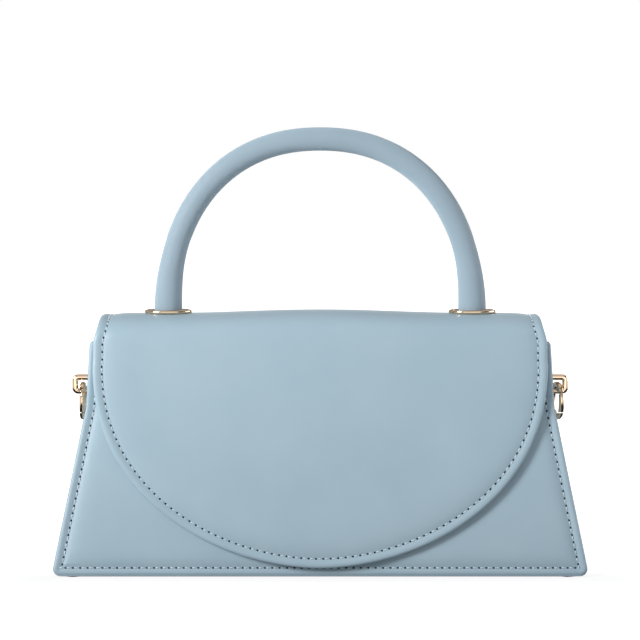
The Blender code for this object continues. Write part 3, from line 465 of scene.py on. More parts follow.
def base_rows(depth):
    """Points (across, up, margins stand) along the base, from the right tab's top to the left one's."""
    stand = half_width(BASE_MARGIN) - REVEAL - SEAM_MARGIN - MITRE
    tab_foot = half_width(depth) - TAB_INSET - depth
    tab_top = half_width(TAB_HEIGHT) - TAB_INSET - depth
    bent = rounded([(0, depth, 0), (tab_foot, depth, 3.5 * MM - depth), (tab_top, TAB_HEIGHT, 0)])
    right = [(point.x, point.y, False) for point in reversed(bent[1:])] + [(stand + MITRE, depth, False)]
    middle = [(stand * (1 - 2 * step / FLAT_STEPS), depth, True) for step in range(FLAT_STEPS + 1)]
    return right + middle + [(-x, z, standing) for x, z, standing in reversed(right)]


def base_section(across, up, standing, depth):
    """Points across the base at one row: margins standing, or flat out to the tab's edge."""
    deep = half_depth(0) - PANEL - FIT
    if standing:
        foot = half_depth(BASE_FOLD) - PANEL - FIT
        radius = BASE_FOLD - depth
        front = [(depth + PANEL + FIT - half_depth(BASE_MARGIN), BASE_MARGIN)]
        for step in range(SIDE_STEPS + 1):
            angle = math.pi + math.pi / 2 * step / SIDE_STEPS
            front.append((BASE_FOLD - foot + radius * math.cos(angle), BASE_FOLD + radius * math.sin(angle)))
    else:
        narrow = half_depth(up) - PANEL - FIT - GUSSET - TAB_AIR
        front = [(-(deep if up <= depth and abs(across) < 118 * MM else narrow), up)] * (SIDE_STEPS + 2)
    return front + [(-y, z) for y, z in reversed(front)]


def base_place(column, row, skin):
    """One point of the base's leather."""
    across, up, standing = base_rows(BASE * skin)[row]
    y, z = base_section(across, up, standing, BASE * skin)[column]
    return Vector((across, y, z))


base = laid_sheet("base_calf", 2 * SIDE_STEPS + 3, len(base_rows(0)) - 1, base_place)
finish_piece(base, "bag", ["base_panel"], [LEATHER], 50)


# Boards in the walls, the base, the flap and the handle.
# Bonded leather board, grey-brown and fibrous, cut to shape and glued in behind the leather, where none of it
# shows. The bar under the handle and the handle's core are moulded.


def bonded_board(name, light, dark):
    """Bonded leather board: matt, with short pressed fibres in two browns some 2 mm long."""
    made, tree, shader, place = new_material(name, Roughness=0.9)
    fibres = add_node(tree, "ShaderNodeTexNoise", {}, {"Scale": 1 / (2 * MM), "Detail": 6}, {"Vector": place})
    tones = {6: hex_colour(dark), 7: hex_colour(light)}
    tint = add_node(tree, "ShaderNodeMix", {"data_type": "RGBA"}, tones, {0: fibres.outputs[0]})
    tree.links.new(tint.outputs[2], shader.inputs["Base Color"])
    bump = add_node(tree, "ShaderNodeBump", {}, {"Distance": 0.1 * MM}, {"Height": fibres.outputs[0]})
    tree.links.new(bump.outputs[0], shader.inputs["Normal"])
    return made


def moulded_core(name, code):
    """A plain moulded core: matt grey, with a sandy skin from the mould some 0.4 mm across."""
    made, tree, shader, place = new_material(name, Base_Color=hex_colour(code), Roughness=0.6)
    sand = add_node(tree, "ShaderNodeTexNoise", {}, {"Scale": 1 / (0.4 * MM), "Detail": 2}, {"Vector": place})
    bump = add_node(tree, "ShaderNodeBump", {}, {"Distance": 0.03 * MM}, {"Height": sand.outputs[0]})
    tree.links.new(bump.outputs[0], shader.inputs["Normal"])
    return made


def refinish(names, material):
    """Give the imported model's own nodes a finish."""
    for name in names:
        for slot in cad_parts[name].material_slots:
            slot.material = material


BONDED_BOARD = bonded_board("bonded_leather_board", "9a8d7c", "6f6456")
refinish(["front_board", "back_board", "base_board", "flap_filler"], BONDED_BOARD)
refinish(["flap_bar", "handle_core"], moulded_core("moulded_core_grey", "a3a39f"))


# Lining.
# Fine cotton twill in a deeper blue, glued to the walls, the floor and the gussets up to the leather facings,
# and the same cloth again for the slip pocket on the back wall.

LINING = 0.5 * MM
LINING_IN = 3.1 * MM
SIDE_LINING_IN = 3.46 * MM
LINING_LOW = 3.8 * MM
FACING_LOW = BODY_HEIGHT - 20.5 * MM
BOARD = 1.2 * MM
SIDE_COLUMNS = 16
SIDE_ROWS = 30
FLOOR_COLUMNS = 30
FLOOR_ROWS = 10
# a wave texture's bands lie this far apart, divided by its scale
BANDS = 0.314


def twill(name, light, dark):
    """Cotton twill on the piece's own UV in metres: ribs 0.9 mm apart across a plain weave, woven matt."""
    made, tree, shader, place = new_material(name, Roughness=0.85, Sheen_Weight=0.25, Sheen_Roughness=0.5)
    flat = add_node(tree, "ShaderNodeUVMap").outputs[0]
    # the ribs are drawn twice as coarse as real ones, so that they show
    ribs = add_node(
        tree,
        "ShaderNodeTexWave",
        {"bands_direction": "DIAGONAL"},
        {"Scale": BANDS / (0.9 * MM), "Distortion": 0.6, "Detail": 1},
        {"Vector": flat},
    )
    weft = add_node(
        tree,
        "ShaderNodeTexWave",
        {"bands_direction": "X"},
        {"Scale": BANDS / (0.5 * MM), "Distortion": 0.3},
        {"Vector": flat},
    )
    crossed = {0: weft.outputs[0], 2: ribs.outputs[0]}
    both = add_node(tree, "ShaderNodeMath", {"operation": "MULTIPLY_ADD"}, {1: 0.4}, crossed)
    tones = {6: hex_colour(dark), 7: hex_colour(light)}
    tint = add_node(tree, "ShaderNodeMix", {"data_type": "RGBA"}, tones, {0: both.outputs[0]})
    tree.links.new(tint.outputs[2], shader.inputs["Base Color"])
    woven = {"Distance": 0.08 * MM, "Strength": 0.6}
    bump = add_node(tree, "ShaderNodeBump", {}, woven, {"Height": both.outputs[0]})
    tree.links.new(bump.outputs[0], shader.inputs["Normal"])
    return made


TWILL = twill("cotton_twill_blue", "7f99ab", "5f7a8e")


def wall_cloth(name, side, low, top, inset, deep, thick, columns=24, rows=16, wave=0.12 * MM):
    """A flat sheet inside a wall from one height to another, drawn in from the wall's sides."""

    def place(column, row, skin):
        height = low + (top - low) * row / rows
        half = half_width(height) - inset if inset > 0 else -inset
        across = half * (2 * column / columns - 1)
        fade = math.sin(math.pi * column / columns) * math.sin(math.pi * row / rows)
        lift = wave * fade * (1 + math.sin(across / (12 * MM)) * math.sin(height / (10 * MM)))
        return wall_place(side, across, height, -deep - thick * skin + lift * (skin - 1))

    size = (2 * half_width(low), top - low)
    return laid_sheet(name, columns, rows, place, size)


wall_inset = REVEAL + SIDE_LINING_IN + LINING + FIT
for name, side in (("front", -1), ("back", 1)):
    cloth = wall_cloth(
        "lining_" + name + "_twill", side, LINING_LOW, FACING_LOW - FIT, wall_inset, LINING_IN, LINING
    )
    finish_piece(cloth, "bag", ["lining_" + name], [TWILL])

for side_name, side in (("left", -1), ("right", 1)):

    def side_lining_place(column, row, skin):
        height = LINING_LOW + (BODY_HEIGHT - MOUTH_STEP - GUSSET - LINING_LOW) * row / SIDE_ROWS
        reach = half_depth(height) - LINING_IN - LINING - FIT
        across = reach * (2 * column / SIDE_COLUMNS - 1)
        sink = web_sink(height, across, reach + GUSSET_FOLD)
        out = half_width(height) - REVEAL - SIDE_LINING_IN - LINING * skin - sink
        return Vector((side * out, across, height))

    size = (55 * MM, BODY_HEIGHT)
    cloth = laid_sheet("lining_" + side_name + "_twill", SIDE_COLUMNS, SIDE_ROWS, side_lining_place, size)
    finish_piece(cloth, "bag", ["lining_" + side_name], [TWILL])

floor_low = BASE + FIT + BOARD + FIT


def floor_lining_place(column, row, skin):
    """The floor's cloth, laid over the base board with a faint wave."""
    half = half_width(floor_low) - wall_inset
    deep = half_depth(floor_low + LINING) - LINING_IN
    across = 2 * column / FLOOR_COLUMNS - 1
    along = 2 * row / FLOOR_ROWS - 1
    x, y = half * across, deep * along
    wave = 0.1 * MM * (1 + math.sin(x / (14 * MM)) * math.cos(y / (9 * MM))) * (1 - across**4)
    return Vector((x, y, floor_low + LINING * skin + wave * (1 - along**4) * skin))


size = (2 * HALF_BASE, 60 * MM)
cloth = laid_sheet("lining_base_twill", FLOOR_COLUMNS, FLOOR_ROWS, floor_lining_place, size)
finish_piece(cloth, "bag", ["lining_base"], [TWILL])

POCKET_HALF = 55 * MM
POCKET_TOP = FACING_LOW - 8.3 * MM
POCKET_LOW = POCKET_TOP - 50 * MM
POCKET_IN = LINING_IN + LINING + FIT
POCKET_OUTLINE = rounded(
    [
        (POCKET_HALF, POCKET_LOW, 6 * MM),
        (POCKET_HALF, POCKET_TOP, 0),
        (-POCKET_HALF, POCKET_TOP, 0),
        (-POCKET_HALF, POCKET_LOW, 6 * MM),
    ]
)


def pocket_place(across, height, on_face, distance):
    """The pocket's cloth: sewn flat at its sides and foot, and a little loose at its middle."""
    loose = 0.5 * MM * ease(distance, 0, 20 * MM) * math.cos(across / POCKET_HALF * math.pi / 2)
    return wall_place(1, across, height, -POCKET_IN - loose - (LINING if on_face else 0))


pocket_rows = [POCKET_LOW + step * 5 * MM for step in range(1, 10)]
pocket_columns = [step * 5 * MM for step in range(-10, 11)]
pocket = cut_sheet(
    "slip_pocket_twill", POCKET_OUTLINE, (0.2, 0.6, 2.5, 3.0, 6.0), (), pocket_rows, pocket_columns
)
shape_sheet(pocket, POCKET_OUTLINE, pocket_place, 0)
finish_piece(pocket, "bag", ["slip_pocket"], [TWILL])


# Facings and the pocket's welt.
# Strips of the bag's own calf where hands rub: one inside each wall at the mouth, over the lining's top edge,
# and one folded over the slip pocket's top edge.

FACING = 1 * MM
WELT = 0.8 * MM
WELT_HEIGHT = 9 * MM

for name, side in (("front", -1), ("back", 1)):
    span = (FACING_LOW, BODY_HEIGHT - MOUTH_STEP)
    strip = wall_cloth(name + "_facing_calf", side, *span, wall_inset, LINING_IN, FACING, 32, 8, 0)
    finish_piece(strip, "bag", [name + "_facing"], [LEATHER])

welt_in = POCKET_IN + LINING + FIT + FIT
span = (POCKET_TOP - WELT_HEIGHT, POCKET_TOP)
welt = wall_cloth("pocket_welt_calf", 1, *span, -POCKET_HALF, welt_in, WELT, 24, 6, 0)
finish_piece(welt, "bag", ["pocket_welt"], [LEATHER])


# Flap.
# One piece of calf from the strip sewn to the back, over the crown and down the front as a half moon.
# Its edge is turned round a filler, so it is 2.4 mm thick and rounded, with the stitch line 4.5 mm inside it.

CROWN_LIFT = 11.6 * MM
CROWN_RISE = 1.7 * MM
FOOT_AT = 73.4 * MM
FLAP_HALF = 108 * MM
FLAP_NARROW = 2.4 * MM
FLAP_SIDE = 101 * MM
FLAP_TIP = 4.8 * MM
# powers that round the crown's profile and the half moon
CROWN_ROUND = 2 / 2.8
MOON_ACROSS = 2 / 1.9
MOON_DOWN = 2 / 2.2
STRIP_DROP = 25 * MM
PROFILE_MIDDLE = -1.1 * MM
PROFILE_REACH = 23.6 * MM
LEAN = 14 / 110.8
FRONT_OUT = 3.7 * MM
STRIP_OUT = 1.5 * MM
FLAP_STITCH = 4.5 * MM
FLAP_RINGS = (0.15, 0.4, 0.8, 1.4, 2.4, 3.4, 3.9, 4.2, 4.5, 4.8, 5.2, 6.0, 7.6, 10.0, 13.0, 17.0)
FLAP_BACK_RINGS = (0.4, 1.0, 6.8, 7.1)
# how far the flap's face stands out (mm) at a distance (mm) from its edge
FLAP_FACE = (
    (0, -1.0), (0.15, -0.62), (0.4, -0.36), (0.8, -0.14), (1.4, 0.02), (2.4, 0),
    (3.4, -0.22), (3.9, -0.36), (4.2, -0.44), (4.5, -0.48), (4.8, -0.44), (5.2, -0.32),
    (6.0, -0.14), (7.6, 0.12), (10, 0.34), (13, 0.46), (17, 0.5),
)
# how deep its underside lies (mm): a turned rim round a shallow tray
FLAP_UNDER = ((0, 1.5), (0.4, 2.2), (1.0, 2.4), (6.8, 2.4), (7.1, 1.0), (200, 1.0))
FLAP_SINGLE = 1.2 * MM
# the leather is single up to the first distance past the hinge, and has its full rim from the second
LINED_FROM = 4.5 * MM
LINED_FULL = 8.5 * MM


def signed_power(value, power):
    """A power that keeps the value's sign."""
    return math.copysign(abs(value) ** power, value)


def crown_point(angle, across):
    """The flap's face over the mouth, from the back hinge (0) to the front fold (pi), as (y, z)."""
    lift = CROWN_LIFT + CROWN_RISE * math.cos(min(abs(across) / FOOT_AT, 1) * math.pi / 2) ** 2
    out = signed_power(math.cos(angle), CROWN_ROUND)
    up = abs(math.sin(angle)) ** CROWN_ROUND * lift
    return Vector((PROFILE_MIDDLE + PROFILE_REACH * out - LEAN * up * out, BODY_HEIGHT + up))


crown_angles = [math.pi * step / 400 for step in range(401)]
crown_path = [crown_point(angle, FOOT_AT) for angle in crown_angles]
crown_lengths = [0.0]
for here, following in zip(crown_path, crown_path[1:]):
    crown_lengths.append(crown_lengths[-1] + (following - here).length)
CROWN_START = STRIP_DROP
CROWN_END = CROWN_START + crown_lengths[-1]


def flap_place(across, along, out):
    """A point some way out of the flap's face, from its flat place (across, along from the strip's edge)."""
    if along <= CROWN_START:
        height = BODY_HEIGHT - STRIP_DROP + along
        return wall_place(1, across, height, STRIP_OUT + out)
    if along >= CROWN_END:
        height = BODY_HEIGHT - (along - CROWN_END)
        return wall_place(-1, across, height, FRONT_OUT + out)
    angle = float(np.interp(along - CROWN_START, crown_lengths, crown_angles))
    low = crown_point(max(angle - 0.01, 0), across)
    high = crown_point(min(angle + 0.01, math.pi), across)
    way = (high - low).normalized()
    y, z = crown_point(angle, across) + Vector((way.y, -way.x)) * out
    return Vector((across, y, z))


def flap_half(along):
    """Half the flap's width above the half moon: a little narrower over the crown."""
    if not CROWN_START < along < CROWN_END:
        height = BODY_HEIGHT
    else:
        angle = float(np.interp(along - CROWN_START, crown_lengths, crown_angles))
        height = crown_point(angle, FOOT_AT).y
    return FLAP_HALF - FLAP_NARROW * ease(height, 108 * MM, BODY_HEIGHT + CROWN_LIFT)


def flap_outline():
    """The flap's cut shape: strip, crown and half moon, symmetric across."""
    corner = rounded([(0, 0, 0), (FLAP_HALF, 0, 6 * MM), (FLAP_HALF, STRIP_DROP, 0)])[1:-1]
    side_end = CROWN_END + BODY_HEIGHT - FLAP_SIDE
    side_steps = 34
    run = side_end - corner[-1].y
    sides = [corner[-1].y + run * step / side_steps for step in range(1, side_steps + 1)]
    right = corner + [Vector((flap_half(along), along)) for along in sides]
    moon_steps = 70
    for step in range(1, moon_steps + 1):
        angle = math.pi / 2 * (1 - math.cos(math.pi / 2 * step / moon_steps)) ** 0.8
        across = FLAP_HALF * abs(math.cos(angle)) ** MOON_ACROSS
        drop = (FLAP_SIDE - FLAP_TIP) * math.sin(angle) ** MOON_DOWN
        right.append(Vector((across, side_end + drop)))
    right[-1].x = 0
    left = [Vector((-point.x, point.y)) for point in reversed(right[:-1])]
    return right + left


FLAP_OUTLINE = flap_outline()
crown_steps = range(-2, int((CROWN_END - CROWN_START) / (1.5 * MM)) + 4)
crown_rows = [CROWN_START + step * 1.5 * MM for step in crown_steps]
skirt_rows = [CROWN_END + step * 6 * MM for step in range(1, 18)]
FLAP_ROWS = [5 * MM, 10 * MM, 15 * MM, 19 * MM] + crown_rows + skirt_rows
FLAP_COLUMNS = [step * 6 * MM for step in range(-17, 18)]


def flap_face(across, along, distance):
    """How far the flap's face stands out from its plain form: rounded rim, groove, and a soft swell."""
    thin = ease(along, CROWN_START + 4 * MM, CROWN_START - 2 * MM)
    edge = max(distance, 0.7 * MM * thin)
    ripple = 0.04 * MM * math.sin(across / (23 * MM) + 1) * math.sin(along / (15 * MM))
    return profile_value(FLAP_FACE, edge) + ripple * min(distance / (8 * MM), 1)


def flap_under(along, distance):
    """How deep the flap's underside lies: the sewn strip is plain leather, the rest a rim round a tray."""
    turned = ease(along, CROWN_START + LINED_FROM, CROWN_START + LINED_FULL)
    return turned * profile_value(FLAP_UNDER, distance) + (1 - turned) * FLAP_SINGLE


def flap_skin_place(across, along, on_face, distance):
    """A point of the flap's leather, on its face or its underside."""
    out = flap_face(across, along, distance) if on_face else -flap_under(along, distance)
    return flap_place(across, along, out)


flap = cut_sheet("flap_leather_skin", FLAP_OUTLINE, FLAP_RINGS, FLAP_BACK_RINGS, FLAP_ROWS, FLAP_COLUMNS)
shape_sheet(flap, FLAP_OUTLINE, flap_skin_place, 0)
flap.data.materials.append(LEATHER)
flap.data.flip_normals()
finish_piece(flap, None, ["flap_leather", "flap_back_strip"])
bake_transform(flap)


# Lining of the flap.
# The same twill, turned in and glued over the rim's inner edge, so that it hides the stiffener, the bar and
# the handle's fixings. It starts past the hinge, which is bare leather, so that nothing creases there.

FLAP_LINING_NEAR = 2.7 * MM
LINING_EDGE = 1.25 * MM
LINED_INSET = 0.6 * MM
LINED_CORNER = 1.3 * MM
lined_start = CROWN_START + LINED_FROM
lined_half = FLAP_HALF - LINED_INSET
lined = [point for point in shrunk(FLAP_OUTLINE, LINED_INSET) if point.y > lined_start + LINED_CORNER]
first = next(
    at for at in range(len(lined)) if lined[at].x > 0 > lined[at - 1].x and lined[at].y < CROWN_END
)
start_right, start_left = Vector((lined_half, lined_start)), Vector((-lined_half, lined_start))
FLAP_LINED = [start_right, *lined[first:], *lined[:first], start_left]


def lining_depth(along):
    """How deep the lining lies: on the single leather at its first edge, then under the rim and the tray."""
    turned = ease(along, lined_start, CROWN_START + LINED_FULL)
    return turned * FLAP_LINING_NEAR + (1 - turned) * LINING_EDGE


def flap_cloth_place(across, along, on_face, distance):
    """A point of the lining: its skin next to the leather, or the one a cloth's thickness deeper."""
    return flap_place(across, along, -lining_depth(along) - (0 if on_face else LINING))


flap_cloth = cut_sheet("flap_lining_twill", FLAP_LINED, (0.25, 0.8), (), FLAP_ROWS[4:], FLAP_COLUMNS)
cloth_uv = flap_cloth.data.uv_layers.new(name="UVMap")
for corner in flap_cloth.data.loops:
    cloth_uv.data[corner.index].uv = flap_cloth.data.vertices[corner.vertex_index].co.xy
shape_sheet(flap_cloth, FLAP_LINED, flap_cloth_place, 0)
flap_cloth.data.flip_normals()
finish_piece(flap_cloth, None, ["flap_lining"], [TWILL])
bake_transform(flap_cloth)


# Stitches.
# Waxed linen thread 0.5 mm thick, sewn at 3.5 mm in a creased line. What shows of each stitch is a short bead
# that rises beside its needle hole, drawn paler than the thread as a painted highlight, and the holes show
# as dark ovals of painted shade. Every line is one piece.

STITCH_PITCH = 3.5 * MM
STITCH_HALF = 0.8 * MM
STITCH_SHIFT = 0.42 * MM
THREAD = 0.25 * MM
THREAD_ARCH = 0.26 * MM
# shares of the thread's radius: how deep a bead lies, and how much more at its sunk end
THREAD_SUNK = 0.3
THREAD_TILT = 0.35
HOLE_LONG = 0.62 * MM
HOLE_WIDE = 0.46 * MM
HOLE_MIDDLE = 0.035 * MM
HOLE_RIM = 0.02 * MM
HOLE_SIDES = 12
THREAD_SIDES = 6
THREAD_STEPS = 8


def linen_thread(name, light, dark):
    """Waxed linen thread: two plies twisted every 0.9 mm, with a soft waxy shine; its colours are drawn paler
    than the thread's own, as a painted highlight.
    """
    made, tree, shader, place = new_material(name, Roughness=0.5, Coat_Weight=0.1)
    twisted = {"Scale": BANDS / (0.9 * MM)}
    plies = add_node(tree, "ShaderNodeTexWave", {"bands_direction": "DIAGONAL"}, twisted, {"Vector": place})
    tones = {6: hex_colour(dark), 7: hex_colour(light)}
    tint = add_node(tree, "ShaderNodeMix", {"data_type": "RGBA"}, tones, {0: plies.outputs[0]})
    tree.links.new(tint.outputs[2], shader.inputs["Base Color"])
    bump = add_node(tree, "ShaderNodeBump", {}, {"Distance": 0.05 * MM}, {"Height": plies.outputs[0]})
    tree.links.new(bump.outputs[0], shader.inputs["Normal"])
    return made


def hole_shade(name, code):
    """Painted shade for a needle hole: a dark deep blue, matt and faintly mottled, laid where the hole's
    shadow is.
    """
    made, tree, shader, place = new_material(name, Roughness=0.95, Specular_IOR_Level=0.1)
    mottle = add_node(tree, "ShaderNodeTexNoise", {}, {"Scale": 1 / (0.3 * MM)}, {"Vector": place})
    darker = {"data_type": "RGBA", "blend_type": "MULTIPLY"}
    tint = add_node(tree, "ShaderNodeMix", darker, {0: 0.3, 6: hex_colour(code)}, {7: mottle.outputs[1]})
    tree.links.new(tint.outputs[2], shader.inputs["Base Color"])
    return made


# the thread is drawn near white, paler than its own tone, as a painted highlight on the bead beside each hole
THREAD_AND_HIGHLIGHT_FINISH = linen_thread("linen_thread_painted_highlight", "e4f1f8", "c9dae3")
# painted shade of the needle holes: a dark oval on the leather instead of a pierced hole
HOLE_PAINTED_SHADE = hole_shade("needle_hole_painted_shade", "22394b")


def thread_shape(lean):
    """What shows of one stitch, as points (along, aside, up) and faces: a bead beside the hole it leaves."""
    points = []
    for step in range(THREAD_STEPS + 1):
        share = 2 * step / THREAD_STEPS - 1
        sunk = THREAD * (THREAD_SUNK + THREAD_TILT * lean * share)
        up = THREAD_ARCH * (1 - share**4) ** 0.5 - sunk
        for side in range(THREAD_SIDES):
            turn = math.tau * side / THREAD_SIDES
            radius = THREAD * (1 - 0.25 * abs(share) ** 4)
            along = STITCH_HALF * share - STITCH_SHIFT * lean
            points.append((along, radius * math.cos(turn), up + radius * math.sin(turn)))
    last = THREAD_STEPS * THREAD_SIDES
    faces = [list(range(THREAD_SIDES)), [last + at for at in range(THREAD_SIDES)][::-1]]
    for step in range(THREAD_STEPS):
        low = step * THREAD_SIDES
        for at in range(THREAD_SIDES):
            after = (at + 1) % THREAD_SIDES
            faces.append((low + at, low + THREAD_SIDES + at, low + THREAD_SIDES + after, low + after))
    return points, faces


def hole_shape():
    """One needle hole as a thin oval of painted shade that lies on the leather between two stitches."""
    middle = STITCH_PITCH / 2
    points = [(middle, 0, HOLE_MIDDLE)]
    for side in range(HOLE_SIDES):
        turn = math.tau * side / HOLE_SIDES
        points.append((middle + HOLE_LONG * math.cos(turn), HOLE_WIDE * math.sin(turn), HOLE_RIM))
    return points, [(0, at + 1, (at + 1) % HOLE_SIDES + 1) for at in range(HOLE_SIDES)]


def line_places(outline, kept):
    """Evenly spaced places along a closed outline, as (point, direction), where kept(point) holds."""
    lengths = [0.0]
    for at, point in enumerate(outline):
        lengths.append(lengths[-1] + (outline[(at + 1) % len(outline)] - point).length)
    count = round(lengths[-1] / STITCH_PITCH)
    places = []
    for index in range(count):
        reach = lengths[-1] * index / count
        at = next(at for at in range(len(outline)) if lengths[at + 1] > reach)
        way = (outline[(at + 1) % len(outline)] - outline[at]).normalized()
        point = outline[at] + way * (reach - lengths[at])
        if kept(point):
            places.append((point, way))
    return places


def sewn_line(name, body, places, lay, mirrored):
    """A line of stitches and needle holes: lay(across, along, aside, up) puts each point on its leather."""
    points = []
    faces = []
    finishes = []
    for point, way in places:
        run = lay(point.x + way.x * MM, point.y + way.y * MM, 0, 0) - lay(point.x, point.y, 0, 0)
        lean = 1 if run.x > run.z else -1
        for shape_points, shape_faces, finish in ((*thread_shape(lean), 0), (*hole_shape(), 1)):
            first = len(points)
            for forward, aside, up in shape_points:
                flat = point + way * forward + Vector((-way.y, way.x)) * aside
                points.append(lay(flat.x, flat.y, aside, up))
            faces += [tuple(first + at for at in face) for face in shape_faces]
            finishes += [finish] * len(shape_faces)
    piece = new_piece(name, points, faces)
    for face, finish in zip(piece.data.polygons, finishes):
        face.material_index = finish
    if mirrored:
        piece.data.flip_normals()
    finish_piece(piece, body, (), [THREAD_AND_HIGHLIGHT_FINISH, HOLE_PAINTED_SHADE], 60)


def on_flap(across, along, aside, up):
    """A stitch's point on the flap's creased line."""
    return flap_place(across, along, flap_face(across, along, FLAP_STITCH + aside) + up)


flap_line = shrunk(FLAP_OUTLINE, FLAP_STITCH)
turning = line_places(flap_line, lambda point: point.y > CROWN_START + 5 * MM)
fixed = line_places(flap_line, lambda point: point.y < CROWN_START - 3 * MM)
sewn_line("flap_stitches", "flap", turning, on_flap, True)
sewn_line("strip_stitches", "bag", fixed, on_flap, True)

panel_line = shrunk(PANEL_OUTLINE, PANEL_STITCH)
for panel_name, side, top in (("front", -1, BODY_HEIGHT), ("back", 1, BODY_HEIGHT - STRIP_DROP)):

    def on_panel(across, height, aside, up):
        return wall_place(side, across, height, panel_face(across, height, PANEL_STITCH + aside) + up)

    places = line_places(panel_line, lambda point: point.y < top)
    sewn_line(panel_name + "_panel_stitches", "bag", places, on_panel, side == 1)


# Handle.
# A moulded core in a calf tube, an arch on two feet that widen a little. The calf is skived thin, wrapped
# round and butted in one seam along the inside of the arch.

HANDLE_HALF = 73.4 * MM
HANDLE_RISE = 82.8 * MM
HANDLE_RADIUS = 5.6 * MM
FOOT_RADIUS = 6.65 * MM
FOOT_RUN = 34 * MM
HANDLE_POWER = 2.2
PLATE_LOW = BODY_HEIGHT + CROWN_LIFT + FIT
FOOT_LOW = PLATE_LOW + 1.45 * MM
HANDLE_SIDES = 56
HANDLE_STEPS = 100
HANDLE_EDGE = 0.7 * MM
# the seam's groove and the lips beside it, with their places and widths as angles round the tube
SEAM_CROWD = 0.78
SEAM_DEEP = 0.32 * MM
SEAM_WIDE = 0.045
LIP_HIGH = 0.07 * MM
LIP_AT = 0.14
LIP_WIDE = 0.06


def wrapped_grid(name, sides, rows, place):
    """A closed skin: place(column, row) lays each point of a grid whose first and last columns meet."""
    bpy.ops.mesh.primitive_grid_add(x_subdivisions=sides, y_subdivisions=rows, size=1)
    piece = bpy.context.object
    piece.name = name
    for vert in piece.data.vertices:
        column = round((vert.co.x + 0.5) * sides) % sides
        vert.co = place(column, round((vert.co.y + 0.5) * rows))
    close_up(piece)
    return piece


def round_bar(name, stations, across, sides, turned=None):
    """A closed bar along stations of (centre, tangent, radius), whose first and last radius is 0."""

    def place(column, row):
        centre, tangent, radius = stations[row]
        turn = math.tau * column / sides
        if turned and radius > 0:
            turn, lower = turned(turn)
            radius -= lower
        inner = across.cross(tangent).normalized()
        return centre + (inner * math.cos(turn) + across * math.sin(turn)) * radius

    return wrapped_grid(name, sides, len(stations) - 1, place)


def eased_ends(stations, edge):
    """Close a bar's two ends, each with its rim rounded off by a small edge."""
    ends = []
    for (centre, tangent, radius), inwards in ((stations[0], 1), (stations[-1], -1)):
        steps = ((0, radius), (0, edge), (0.12 * edge, 0.55 * edge), (0.45 * edge, 0.15 * edge), (edge, 0))
        ends.append([(centre + tangent * inwards * on, tangent, radius - less) for on, less in steps])
    return ends[0] + stations[1:-1] + ends[1][::-1]


def handle_centre(angle):
    """The arch's centre line, from the left foot (0) to the right one (pi)."""
    across = -HANDLE_HALF * signed_power(math.cos(angle), 2 / HANDLE_POWER)
    return Vector((across, 0, FOOT_LOW + HANDLE_RISE * abs(math.sin(angle)) ** (2 / HANDLE_POWER)))


def seamed(turn):
    """Crowd the columns at the arch's inside and sink the seam there."""
    crowded = turn - SEAM_CROWD * math.sin(turn)
    gap = min(crowded, math.tau - crowded)
    lip = LIP_HIGH * math.exp(-(((gap - LIP_AT) / LIP_WIDE) ** 2))
    return crowded, SEAM_DEEP * math.exp(-((gap / SEAM_WIDE) ** 2)) - lip


handle_run = [(handle_centre(0), Vector((0, 0, 1)), FOOT_RADIUS)]
for step in range(1, HANDLE_STEPS):
    angle = math.pi * step / HANDLE_STEPS
    centre = handle_centre(angle)
    tangent = (handle_centre(angle + 0.01) - handle_centre(angle - 0.01)).normalized()
    narrowed = (HANDLE_RADIUS - FOOT_RADIUS) * ease(centre.z - FOOT_LOW, 0, FOOT_RUN)
    handle_run.append((centre, tangent, FOOT_RADIUS + narrowed))
handle_run.append((handle_centre(math.pi), Vector((0, 0, -1)), FOOT_RADIUS))
# the skived calf of the handle is matter: it is stretched, keeps a faint nap and has no final polish
HANDLE_LEATHER = calf_leather(
    "skived_calf_pale_blue", "a8bcc8", "a2b6c2", coat=0.02, smooth=0.56, rough=0.66, nap=0.9
)
handle_skin = eased_ends(handle_run, HANDLE_EDGE)
handle = round_bar("handle_calf_tube", handle_skin, Vector((0, 1, 0)), HANDLE_SIDES, seamed)
finish_piece(handle, "flap", ["handle_cover"], [HANDLE_LEATHER], 50)


# Plates and fixings of the handle.
# Oval zinc plates, die cast, polished and gold plated, with a rolled rim round a channel that the foot stands
# in. A steel screw comes up through each into a threaded steel insert in the core.

PLATE_HALF_WIDTH = 11.5 * MM
PLATE_HALF_DEPTH = 8.5 * MM
PLATE_SIDES = 96
# the plate's section from its underside to its channel: (drawn in from the edge, up), in mm
PLATE_SECTION = (
    (8.5, 0), (2.2, 0), (1.3, 0.05), (0.75, 0.22), (0.3, 0.55), (0.06, 0.9),
    (0, 1.25), (0.08, 1.56), (0.28, 1.83), (0.55, 1.97), (0.85, 2.0), (1.1, 1.9),
    (1.3, 1.65), (1.42, 1.35), (1.6, 1.15), (1.8, 1.1), (2.6, 1.1), (8.5, 1.12),
)


def polished_gold(name, code, streak):
    """Pale gold plate on polished metal: a clear reflection, a little hazy, with hairlines 0.4 mm apart."""
    made, tree, shader, place = new_material(name, Base_Color=hex_colour(code), Metallic=1, Roughness=0.1)
    stretch = add_node(tree, "ShaderNodeMapping", {}, {"Scale": (1, 1, 6)}, {"Vector": place})
    thin = {"Scale": 1 / (0.4 * MM), "Detail": 3}
    hairs = add_node(tree, "ShaderNodeTexNoise", {}, thin, {"Vector": stretch.outputs[0]})
    hazy = {"To Min": 0.07, "To Max": streak}
    haze = add_node(tree, "ShaderNodeMapRange", {}, hazy, {"Value": hairs.outputs[0]})
    tree.links.new(haze.outputs[0], shader.inputs["Roughness"])
    faint = {"Strength": 0.03, "Distance": 0.02 * MM}
    bump = add_node(tree, "ShaderNodeBump", {}, faint, {"Height": hairs.outputs[0]})
    tree.links.new(bump.outputs[0], shader.inputs["Normal"])
    return made


